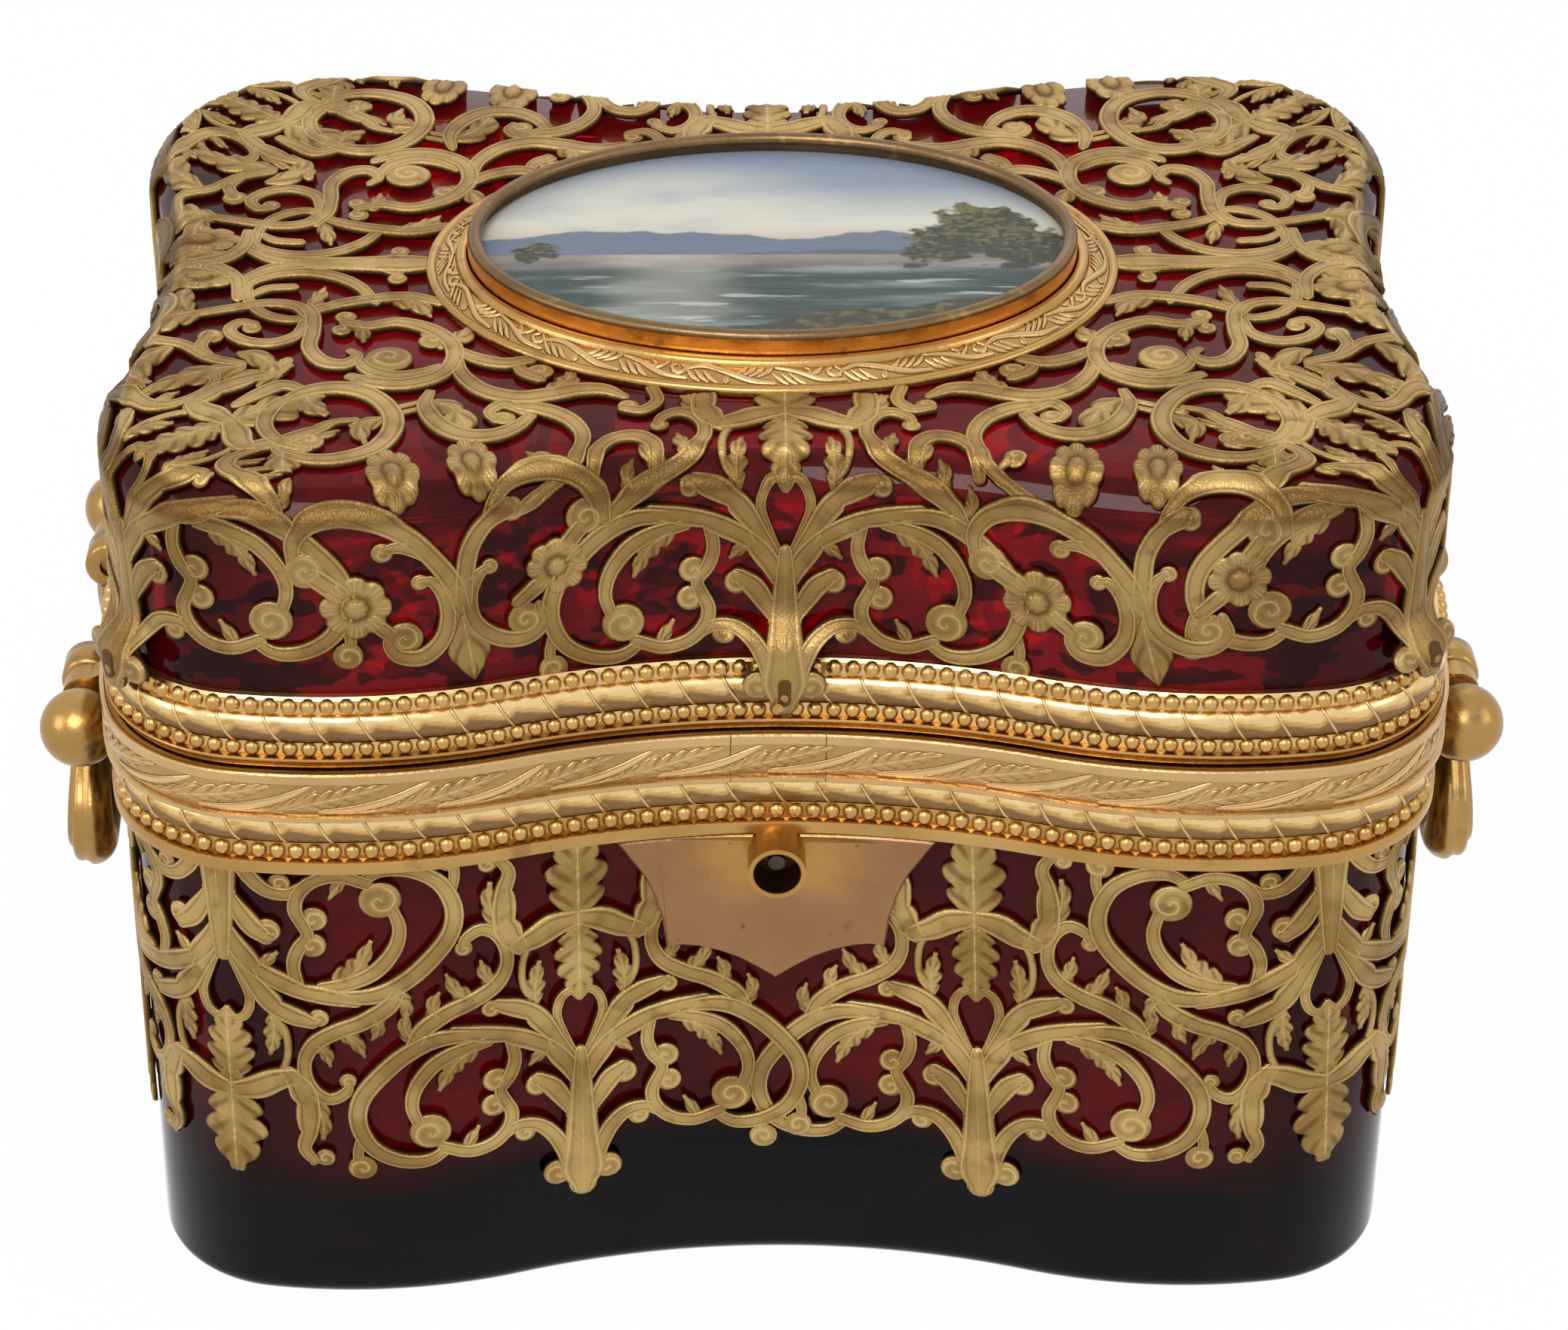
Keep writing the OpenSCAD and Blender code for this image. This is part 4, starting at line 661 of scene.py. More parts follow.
def rubyGlass(look):
    g = Graph(bpy.data.materials.new("rubyGlass"))
    top, reach = g.axis("Z"), g.maths("ABSOLUTE", g.axis("X"))
    height = top - 0.004 * g.rise(reach, 0.05, 0.0)
    cloud = g.noise(30.0, 2.0)
    tone = g.mix(g.rise(cloud, 0.35, 0.7), look["deep"], look["clear"])
    spread = g.node("ShaderNodeVectorMath", {"operation": "MULTIPLY"}, {0: g.place(), 1: (1.0, 1.0, 1.9)})
    # painted shadow: dark spots, strongest on the lid's wall, in place of the castings' shadows seen through
    # the glass
    spots = g.rise(g.noise(190.0, 1.5, spread, 0.6), 0.49, 0.53)
    onLidWall = g.rise(height, *look["paintedShadowFoot"]) * g.rise(height, *look["paintedShadowTop"])
    tone = g.mix(spots * (0.2 + 0.65 * onLidWall), tone, look["mottle"])
    # painted shade on the bevel, and a darker tone towards the left and right ends
    bevel = g.rise(top, *look["bevelFoot"]) * g.rise(top, *look["bevelTop"])
    corner = g.rise(reach + 0.02 * (cloud - 0.5), *look["cornerEdge"])
    tone = g.mix(g.maths("MAXIMUM", corner * 0.72, bevel * 0.6), tone, look["thick"])
    tone = g.mix(g.rise(height, *look["lidEdge"]), tone, look["lower"], "MULTIPLY")  # painted shade: the base is darker
    # painted shade: near black at the foot, for the floor's shadow under it and the long way through its
    # solid glass
    tone = g.mix(g.rise(height, *look["footEdge"]), tone, look["foot"])
    return g.finish({"Base Color": tone, "Roughness": 0.03, "IOR": 1.22,
                     "Transmission Weight": look["clearness"]})


def coverGlass():
    g = Graph(bpy.data.materials.new("coverGlass"))
    facing = g.node("ShaderNodeLayerWeight", None, {"Blend": 0.5}, "Facing")
    return g.finish({"Base Color": (0.02, 0.02, 0.02, 1.0), "Roughness": 0.03, "IOR": 1.45,
                     "Alpha": 0.5 * facing ** 4.0 + 0.03})


finishes["ruby"] = rubyGlass(tinted(ruby))
finishes["cover"] = coverGlass()

# each lamp's place, size and power
lamps = {"key": ((-0.25, -0.8, 1.0), 0.5, 7.0), "left": ((-1.2, -0.5, 0.7), 0.6, 3.0),
         "right": ((1.2, -0.5, 0.8), 0.6, 2.4), "back": ((0.2, 1.1, 0.9), 0.7, 0.7)}
surround = {"light": 0.7, "floorTone": (0.8, 0.8, 0.8, 1), "whitening": 0.97, "aimZ": 0.05,
            "floor": [(x, y, -0.00005) for x, y in ((-3, -3), (3, -3), (3, 3), (-3, 3))]}


def seen(g):  # 1 for what the camera sees, straight or by way of the metal and the glass; 0 for light alone
    rays = [g.node("ShaderNodeLightPath", None, None, f"Is {kind} Ray") for kind in
            ("Camera", "Glossy", "Transmission")]
    return g.maths("MAXIMUM", g.maths("MAXIMUM", rays[0], rays[1]), rays[2])


def setStage(s):
    for name, (where, size, power) in lamps.items():
        lamp = bpy.data.lights.new(name, "AREA")
        lamp.shape, lamp.size, lamp.energy = "SQUARE", size, power
        aim = Vector((0, 0, s["aimZ"])) - Vector(where)
        turn = aim.to_track_quat("-Z", "Y").to_matrix().to_4x4()
        newPiece(name + "Lamp", lamp).matrix_world = Matrix.Translation(Vector(where)) @ turn
    g = Graph(bpy.data.worlds.new("surround"))
    light, white = [g.node("ShaderNodeBackground", None, {"Strength": strength, "Color": (1, 1, 1, 1)})
                    for strength in (s["light"], 1.0)]
    both = g.node("ShaderNodeMixShader", None, {0: seen(g), 1: light, 2: white})
    g.node("ShaderNodeOutputWorld", None, {"Surface": both})
    bpy.context.scene.world = g.owner
    g = Graph(bpy.data.materials.new("floorPaper"))
    paper = g.node("ShaderNodeBsdfDiffuse", None, {"Color": s["floorTone"]})
    glow = g.node("ShaderNodeEmission", None, {"Strength": 1.0})
    both = g.node("ShaderNodeMixShader", None, {0: seen(g) * s["whitening"], 1: paper, 2: glow})
    g.node("ShaderNodeOutputMaterial", None, {"Surface": both})
    sheet = bpy.data.meshes.new("floor")
    sheet.from_pydata(s["floor"], [], [[0, 1, 2, 3]])
    sheet.materials.append(g.owner)
    newPiece("floor", sheet)
    bpy.context.scene.view_settings.view_transform = "Standard"


# solid rings round the outline, and lathe work
roundCount = 480
roundU = np.arange(roundCount) * around / roundCount


def hoopPart(section, shape=None, light=None):  # section is (z, d) points, clockwise as seen along the way
    z, d = np.array(section, float).T
    u, v, d = np.repeat(roundU, len(z)), np.tile(z, roundCount), np.tile(d, roundCount)
    if shape:
        d = d + shape(u, v, d)
    points, faces, marks = plain(np.stack([*wallPoint(u, d), v], -1), sideFaces(roundCount, len(z), True))
    return points, faces, light(u, v) if light else marks


def lathePart(profile, centre, sides=40, closed=False):  # profile is (y, radius) points
    along, radius = np.array(profile, float).T[..., None]
    angle = np.arange(sides) * 2 * np.pi / sides
    points = np.dstack([radius * np.cos(angle), along + 0 * angle, radius * np.sin(angle)]).reshape(-1, 3)
    n = len(profile)
    ends = [] if closed else [list(range(sides))[::-1], list(range((n - 1) * sides, n * sides))]
    return plain(points + centre, turnedOver(sideFaces(n, sides, closed)) + ends)


class Group(Graph):  # nodes that set a shape along a line
    def __init__(self, name):
        self.tree = bpy.data.node_groups.new(name, "GeometryNodeTree")
        self.start = self.tree.nodes.new("NodeGroupInput")
        self.line = self.take("Line", "NodeSocketGeometry")
        self.tree.interface.new_socket(name="Result", in_out="OUTPUT", socket_type="NodeSocketGeometry")

    def take(self, name, kind="NodeSocketFloat"):
        self.tree.interface.new_socket(name=name, in_out="INPUT", socket_type=kind)
        return Value(self, self.start.outputs[name])

    def alongLine(self, shape):
        count, finish = self.take("Count", "NodeSocketInt"), self.take("Finish", "NodeSocketMaterial")
        line = self.node("GeometryNodeMeshToCurve", None, {0: self.line})
        even = self.node("GeometryNodeResampleCurve", None, {0: line, 2: count})
        way = self.node("GeometryNodeInputTangent")
        turn = self.node("FunctionNodeAlignRotationToVector", {"axis": "X", "pivot_axis": "Z"}, {2: way})
        smooth = self.node("GeometryNodeSetShadeSmooth", None, {0: shape})
        spots = self.node("GeometryNodeInstanceOnPoints", None, {0: even, 2: smooth, 5: turn})
        real = self.node("GeometryNodeRealizeInstances", None, {0: spots})
        painted = self.node("GeometryNodeSetMaterial", None, {0: real, 2: finish})
        self.node("NodeGroupOutput", None, {0: painted})
        return self.tree


def beadTree():
    group = Group("beadRow")
    bead = group.node("GeometryNodeMeshUVSphere", None, {0: 10, 1: 7, 2: group.take("Radius")})
    return group.alongLine(bead)


def ribTree():
    group = Group("ropeRibs")
    lean, height, bulge, thick = [group.take(name) for name in ("Lean", "Height", "Bulge", "Thickness")]
    less, low, out = lean * -1.0, height * -1.0, bulge * (-4 / 3)
    ends = {1: group.join(less, 0.0, height), 2: group.join(less, out, height),
            3: group.join(lean, out, low), 4: group.join(lean, 0.0, low)}
    bow = group.node("GeometryNodeCurvePrimitiveBezierSegment", None, {0: 9, **ends})
    ring = group.node("GeometryNodeCurvePrimitiveCircle", None, {0: 5, 4: thick})
    return group.alongLine(group.node("GeometryNodeCurveToMesh", None, {0: bow, 1: ring, "Fill Caps": True}))


def strung(name, tree, z, d, inputs, finish, body):
    points = np.stack([*wallPoint(roundU, d), np.full(roundCount, z)], -1) * mm
    line = bpy.data.meshes.new(name + "Line")
    line.from_pydata(points.tolist(), [(i, (i + 1) % roundCount) for i in range(roundCount)], [])
    holder = newPiece(name + "Line", line)
    modifier = holder.modifiers.new("repeat", "NODES")
    modifier.node_group = tree
    inputs = dict(inputs, Finish=finishes[finish])
    for item in tree.interface.items_tree:
        if item.in_out == "INPUT" and item.name in inputs:
            modifier[item.identifier] = inputs[item.name]
    bpy.context.view_layer.update()
    mesh = bpy.data.meshes.new_from_object(holder.evaluated_get(bpy.context.evaluated_depsgraph_get()))
    mesh.name = name
    bpy.data.objects.remove(holder)
    handIn(newPiece(name, mesh, body), finish)


setCamera(viewpoint)
setStage(surround)
print("camera, lamps and floor are set")

# the two glass bodies
glassLook = {"wall": 5, "floor": 12, "foot": 2.4, "roof": 6, "baseTop": 71.2, "lidFoot": 74.1, "edge": 0.3,
             "footTurns": (0, 20, 40, 60, 75, 90), "insideTurn": ((0, 1.5), (0.4, 0.4), (1.5, 0))}


def shell(rings):  # rings of (z, d), capped at both ends
    z, d = np.repeat(np.array(rings, float), roundCount, 0).T
    points = np.stack([*wallPoint(np.tile(roundU, len(rings)), d), z], -1)
    return plain(points, tubeFaces(len(rings), roundCount))


def makeGlass(look):
    wall, edge, soft = -look["wall"], look["edge"], look["edge"] * 0.7
    rim, lidFoot, bevel, top = look["baseTop"], look["lidFoot"], level["bevel"], level["top"]
    foot = [(1 - math.cos(t), math.sin(t) - 1) for t in np.radians(look["footTurns"])]
    outside = [(up * look["foot"], back * look["foot"]) for up, back in foot] + [(30, 0), (rim - edge, 0)]
    inside = [(look["floor"] + up, wall - back) for up, back in look["insideTurn"][::-1]]
    base = outside + [(rim, -edge), (rim, wall)] + inside
    inside = [(top - look["roof"] - down, wall - back) for down, back in look["insideTurn"]]
    outside = [(lidFoot, -edge), (lidFoot + edge, 0), (bevel - edge, 0), (bevel + soft, -soft),
               (top - soft, soft - bevelRun), (top, -bevelRun - edge)]
    made("baseGlass", [shell(base)], "ruby", "base", ["base_glass"], 25)
    made("lidGlass", [shell(inside + [(lidFoot, wall)] + outside)], "ruby", "lid", ["lid_glass"], 25)


makeGlass(glassLook)
print("glass is made")

# the rims: rails, beads, ropes and the chased band
rims = {"rail": 2.2, "railBack": 0.1, "beadPitch": 1.95, "ropePitch": 4.8, "ropeBack": 1.0, "ropeOut": 1.2,
        "valley": 0.22, "skirt": -5.2, "sheet": 0.8, "ribLean": 0.95, "ribThick": 0.2, "leafPitch": 12,
        "joins": (-5.1, 5.3), "field": (67.3, 70.95), "collarFoot": 65.4, "collarStep": 71.3,
        "collarTop": 79.8}
bandFace = [(66.4, 2.6), (66.55, 2.78), (67.05, 2.78), (67.25, 2.3),
            *((67.4 + i * 0.5, 2.3 + 0.26 * math.sin(math.pi * i / 7)) for i in range(8)),
            (71, 2.3), (71.2, 2.7), (72.25, 2.78), (72.4, 2.6)]
beadRows = {"baseBeads": (62, 1.26, 0.94, "base"), "lidLowerBeads": (74.86, 1.28, 0.9, "lid"),
            "lidUpperBeads": (79.92, 1.12, 0.92, "lid")}


def rounded(z0, z1, out, soft=0.22):
    half = [(0, rims["railBack"]), (0, out - soft), (soft * 0.3, out - soft * 0.3), (soft, out)]
    return [(z0 + up, d) for up, d in half] + [(z1 - up, d) for up, d in half[::-1]]


def rope(name, z0, z1, body, node):
    mid, half, back, out = (z0 + z1) / 2, (z1 - z0) / 2 - 0.04, rims["ropeBack"], rims["ropeOut"]
    arch = [(mid - half * math.cos(t), back + out * math.sin(t)) for t in np.linspace(0, math.pi, 15)]
    section = [(z0, rims["railBack"]), (z0, back)] + arch + [(z1, back), (z1, rims["railBack"])]
    turns = round(around / rims["ropePitch"])

    def turn(u, v):
        return (u + (v - mid) / half * rims["ribLean"]) * turns / around

    def strands(u, v, d):
        share = np.clip((d - back) / out, 0, 1)
        return -rims["valley"] * share * (1 - np.abs(np.sin(np.pi * turn(u, v))) ** 0.5)

    def light(u, v):  # painted light: each strand is brighter above and darker below
        edge = 0.6 * (0.5 - np.mod(turn(u, v), 1))
        return 0.3 + 0.7 * ease(((v - mid) / half - edge + 0.18) / 0.5)

    made(name, [hoopPart(section, strands, light)], "strand", body, [node])
    inputs = {"Count": turns, "Lean": rims["ribLean"] * mm, "Height": half * 0.97 * mm,
              "Bulge": (out - 0.1) * mm, "Thickness": rims["ribThick"] * mm}
    strung(name + "Ribs", ribs, mid, back, inputs, "rib", body)


def beads(name):
    z, d, radius, body = beadRows[name]
    inputs = {"Count": round(around / rims["beadPitch"]), "Radius": radius * mm}
    strung(name, beadRow, z, d, inputs, "bead", body)


def onBand(u, z, d):  # on the band's face
    x, y = wallPoint(u, np.interp(z, *np.array(bandFace).T) + d)
    return np.stack([x, y, z], -1)


def chasing():  # ribbons that rise along the band between lobed leaves
    unit = [stroke([(-.8, 67.7, .6), (2.6, 68, 1.1), (6, 68.9, 1.1), (8.4, 69.9, .9), (10.2, 70.8, .4)]),
            stroke([(1.2, 67.4, .3), (5, 67.7, .35), (8.6, 68.9, .3)]),
            leaf([(-3.6, 68.2, .7), (-1.4, 68.9, 2), (1.4, 69.6, 2), (4, 70.2, 1.3), (6.2, 70.7, .4)], 6),
            leaf([(4.6, 67.6, .4), (6.6, 67.9, 1.1), (8.4, 68.6, 1.3), (9.9, 69.5, .9), (10.9, 70.4, .3)], 4)]
    count = round(around / rims["leafPitch"])
    parts = []
    for i in range(count):
        for p, f, m in unit:
            u = (p[:, 0] / rims["leafPitch"] + i) * around / count
            # their painted light is raised a little, for stronger painted highlights
            parts.append((onBand(u, p[:, 1], p[:, 2] * 0.44 - 0.1), f, m * 1.05))
    for u in rims["joins"]:  # where the band's lengths meet
        p, f, m = stroke([(u, z, .2) for z in np.arange(66.7, level["seam"], 0.4)])
        parts.append((onBand(p[:, 0], p[:, 1], p[:, 2] * 0.7 - 0.25), f, m * 0))
    return parts


def bandLight(u, v):  # the band's sunk field is duller than its fillets
    return np.where((v > rims["field"][0]) & (v < rims["field"][1]), 0.74, 0.97)


def makeRims(r):
    seam, back, skirt, deep = level["seam"], r["railBack"], r["skirt"], r["skirt"] - r["sheet"]
    foot, step, top = r["collarFoot"], r["collarStep"], r["collarTop"]

    def hoops(name, finish, body, node, *sections):
        made(name, [hoopPart(section) for section in sections], finish, body, [node], 30)

    hoops("baseCollar", "bright", "base", "base_collar",
          [(seam, deep), (seam, r["rail"]), (step, r["rail"]), (step, skirt), (foot, skirt), (foot, deep)])
    hoops("lidCollar", "bright", "lid", "lid_collar",
          [(72.65, deep), (72.65, 1.5), (72.9, 1.55), (73.4, 1.85), (73.65, 2.12), (73.85, 2.18), (74, 2.1),
           (74, skirt), (top, skirt), (top, deep)])
    low, high = level["baseBeads"], level["baseRope"]
    hoops("baseRail", "bright", "base", "base_bead_row", rounded(level["rim"], low, r["rail"]),
          [(low, back), (low, 1.35), (high, 1.35), (high, back)])
    beads("baseBeads")
    rope("baseRope", high, level["chased"], "base", "base_rope_moulding")
    section = [(level["chased"], back)] + bandFace + [(seam, 2.3), (71.2, 2.2), (71.2, back)]
    made("chasedBand", [hoopPart(section, light=bandLight)], "chased", "base", ["chased_band"], 30)
    made("bandChasing", chasing(), "chased", "base", recalc=False)
    foot, low, high, top = level["lidBeads"] + 0.02, level["lidRope"], level["upperBeads"], level["rimTop"]
    hoops("lidLowerRail", "rib", "lid", "lid_lower_bead_row",
          [(foot, back), (foot, 1.4), (low, 1.4), (low, back)])
    beads("lidLowerBeads")
    rope("lidRope", low, high, "lid", "lid_rope_moulding")
    hoops("lidUpperRail", "rib", "lid", "lid_upper_bead_row",
          [(high, back), (high, 1.2), (top - 0.3, 1.2), (top, .9), (top, back)])
    beads("lidUpperBeads")


beadRow, ribs = beadTree(), ribTree()
makeRims(rims)
print("rims are made")

# where each casting hangs: quarters of the way round, how much further on, and then
# base: lift, turn, squeeze and how proud it stands; corner: turn; lid: lift and turn; flower: height and turn
mounts = {"gap": 0.15, "borderEdge": 115.6, "footY": 13, "middleY": 36, "cornerTop": 79, "flowerY": 92.7,
          "rimOut": 2.75, "rimTop": 87.4, "rimFade": 6.6, "footHalf": 8.5, "footFade": 3,
          "ovalA": 37.4, "ovalB": 29,
          "base": {"front_left": (0, -21.8, 0, 0, 1, .3), "front_right": (0, 23.6, -.6, 2.8, 1, 0),
                   "back_left": (2, 22.5, 0, 0, .88, 0), "back_right": (2, -22.5, 0, 0, .88, 0),
                   "right_front": (1, -18.5, 0, 0, .73, 0), "right_back": (1, 18.5, 0, 0, .73, 0),
                   "left_back": (3, -18.5, 0, 0, .73, 0), "left_front": (3, 18.5, 0, 0, .73, 0)},
          "corner": {"fl": (0, -60.1, 0), "fr": (0, 60.5, 3), "br": (2, -60, 0), "bl": (2, 60, 0)},
          "lid": {"front": (0, .7, 62, 0), "back": (2, 0, 62, 0), "corner_fl": (0, -70.2, 65.4, 2),
                  "corner_fr": (0, 68, 67, 0), "corner_br": (2, -68, 66, 0), "corner_bl": (2, 68, 66, 0)},
          "flower": {"front_left": (0, -33.65, 92.7, 0), "front_right": (0, 37.5, 92.4, 6.8),
                     "right": (1, 0, 92.7, 0), "left": (3, 0, 92.7, 0), "back_right": (2, -35, 92.7, 0),
                     "back_left": (2, 35, 92.7, 0)},
          "top": {"fl": (-1, -1), "fr": (1, -1), "br": (1, 1), "bl": (-1, 1)}}


def turned(p, angle, height):  # counter-clockwise, about a point on the casting's middle line
    c, s = math.cos(math.radians(angle)), math.sin(math.radians(angle))
    x, y = p[:, 0], p[:, 1] - height
    return x * c - y * s, height + x * s + y * c


def cast(node, parts, place, body, finish="matt"):
    first, *words = node.split("_")
    name = first + "".join(word.capitalize() for word in words)
    made(name, [(place(p), faces, marks) for p, faces, marks in parts], finish, body, [node], recalc=False)


def makeMounts(m):
    gap = m["gap"]
    palmette = palmetteParts()
    for name, (quarters, on, lift, angle, squeeze, proud) in m["base"].items():
        def place(p):
            x, y = turned(p * [squeeze, 1, 1], angle, m["footY"])
            return onBase(quarters * quarter + on + x, y + lift, gap + proud + p[:, 2])
        cast("base_mount_" + name, palmette, place, "base")
    for name, (quarters, on, angle) in m["corner"].items():
        def place(p):
            x, y = turned(p, angle, m["middleY"])
            return onBase(quarters * quarter + on - x, m["cornerTop"] - y, gap + 0.1 + p[:, 2])
        cast("base_mount_corner_" + name, palmette, place, "base")
    for name, (quarters, on, lift, angle) in m["lid"].items():
        def place(p):  # its foot is raised over the rim
            x, y = turned(p, angle, m["middleY"])
            over = m["rimOut"] * ease((m["rimTop"] - y - lift) / m["rimFade"])
            over = over * ease((m["footHalf"] - np.abs(x)) / m["footFade"])
            v = y + lift if "corner" in name else np.minimum(y + lift, m["borderEdge"])
            centre = quarters * quarter + on
            return onLid(centre, centre + x, v + 0.6 * over, gap + p[:, 2] + over)
        cast("lid_mount_" + name, palmetteParts("corner" not in name, True), place, "lid", "lidMatt")
    for name, (quarters, on, height, angle) in m["flower"].items():
        def place(p):
            x, y = turned(p, angle, m["flowerY"])
            centre = quarters * quarter + on
            return onLid(centre, centre + x, y + height - m["flowerY"], gap + 0.12 + p[:, 2])
        cast("lid_flower_" + name, flowerParts(), place, "lid", "lidMatt")
    for name, (sx, sy) in m["top"].items():
        def place(p):  # nothing reaches under the medallion
            grow = 1 / np.minimum(np.sqrt((p[:, 0] / m["ovalA"]) ** 2 + (p[:, 1] / m["ovalB"]) ** 2), 1)
            return onTop(p[:, 0] * grow * sx, p[:, 1] * grow * sy, gap + 0.05 + p[:, 2])
        parts = [(p, f if sx * sy > 0 else mirrored(f), marks) for p, f, marks in topParts()]
        cast("lid_top_mount_" + name, parts, place, "lid", "lidMatt")


makeMounts(mounts)
print("mounts are made")

# the medallion: border, bezel, plaque and cover; each section is (inwards, z) points
medallion = {"a": 37.9, "b": 29.5, "fall": 5 / 4.6, "bezelA": 33.3, "bezelB": 24.5, "bezelWall": 0.8,
             "border": [(0, 104.2), (0, 104.9), (.2, 105.15), (.55, 105.25), (.9, 105.15), (1.1, 104.95),
                        (1.35, 105), (2.2, 105.6), (3, 105.95), (3.2, 105.9), (3.35, 106.35), (3.55, 106.55),
                        (4.2, 106.6), (4.4, 106.5), (4.4, 104.2)],
             "band": [(0, 104.2), (0, 108.2), (.6, 108.2), (.6, 104.2)],
             "rim": [(.05, 108.2), (0, 108.5), (.2, 108.85), (.55, 109.03), (.9, 109.06), (1.25, 108.95),
                     (1.5, 108.6), (1.55, 108.2)],
             "liner": [(.62, 106.7), (.62, 108.15), (.78, 108.15), (.78, 106.7)],
             "plaque": [(0, 105), (0, 106.8), (.5, 106.9), (6, 106.98), (14, 107.02), (20, 107.04)],
             "cover": [(.3, 107.1), (0, 107.2), (0, 107.9), (1.2, 108.15), (8, 108.35), (20, 108.4)],
             "sides": 240, "leafPeriod": 16.5, "fieldMiddle": 2.1}


def ovalPart(profile, a, b, closed=True, fall=1.0):
    n = medallion["sides"]
    angle = np.arange(n) * 2 * np.pi / n
    t, z = np.array(profile, float).T[..., None]
    points = np.dstack([(a - t) * np.cos(angle), (b - t * fall) * np.sin(angle), z + 0 * angle])
    faces = sideFaces(len(profile), n, True) if closed else tubeFaces(len(profile), n)
    return plain(points.reshape(-1, 3), faces)


def borderChasing(m):  # leaves round the border, curling outwards
    angle = np.linspace(0, 2 * np.pi, 1441)
    x = (m["a"] - m["fieldMiddle"]) * np.cos(angle)
    y = (m["b"] - m["fieldMiddle"] * m["fall"]) * np.sin(angle)
    run = np.r_[0, np.cumsum(np.hypot(np.diff(x), np.diff(y)))]
    count = 2 * round(run[-1] / m["leafPeriod"] / 2)
    unit = [stroke([(.2, 1.4, .4), (2.6, 1.6, .6), (5.4, 2.4, .7), (7.8, 2.9, .6), (9.6, 2.4, .4)]),
            stroke([(9.4, 1.5, .4), (12, 1.7, .6), (14.6, 2.6, .6), (16.6, 3, .4)]),
            stroke([(10.2, 2.9, .35), (9.6, 2.3, .5), (10.4, 1.9, .55), (11.2, 2.4, .5), (10.7, 2.8, .35)]),
            stroke([(13.4, 2.9, .3), (12.8, 2.5, .45), (13.4, 2.2, .45), (13.9, 2.6, .35)]),
            knob(5.2, 1.6, .4)]
    unit += [stroke([(x, 3, .3), (x + .5, 2.5, .6), (x + 1.5, 2, .25)]) for x in (.4, 1.3, 2.2, 3.1, 11.6)]
    unit += [stroke([(x, 1.3, .3), (x + .7, 1.7, .6), (x + 1.5, 2.3, .25)])
             for x in (6.2, 7.1, 8, 13.6, 14.5, 15.4)]
    parts = []
    for i in range(count):
        forwards = i < count // 2  # the leaves of the other half face them
        for p, faces, marks in unit:
            share = p[:, 0] / m["leafPeriod"]
            a = np.interp((i + share if forwards else i + 1 - share) * run[-1] / count, run, angle)
            t = p[:, 1]
            z = np.interp(t, *np.array(m["border"][5:9]).T) - 0.1 + p[:, 2] * 0.6
            points = np.stack([(m["a"] - t) * np.cos(a), (m["b"] - t * m["fall"]) * np.sin(a), z], -1)
            # their painted light is raised a little, for stronger painted highlights
            parts.append((points, mirrored(faces) if forwards else faces, marks * 1.03))
    return parts


painting = {"skyHigh": (138, 154, 180), "skyLow": (214, 184, 172), "cream": (236, 234, 216),
            "cloud": (150, 164, 184), "farHill": (112, 126, 148), "nearHill": (70, 84, 74),
            "water": (46, 70, 70), "shine": (164, 184, 182), "bank": (52, 50, 34), "tree": (42, 50, 34),
            "treeLight": (116, 106, 62), "brush": (60, 64, 66), "brushLight": (226, 224, 214),
            "horizon": -0.1, "halfWidth": 32.5, "halfDepth": 23.7,
            "trees": ((0.6, 0.02, 0.14), (0.72, 0.16, 0.19), (0.83, 0.0, 0.16), (0.5, -0.08, 0.09),
                      (-0.8, -0.06, 0.08))}


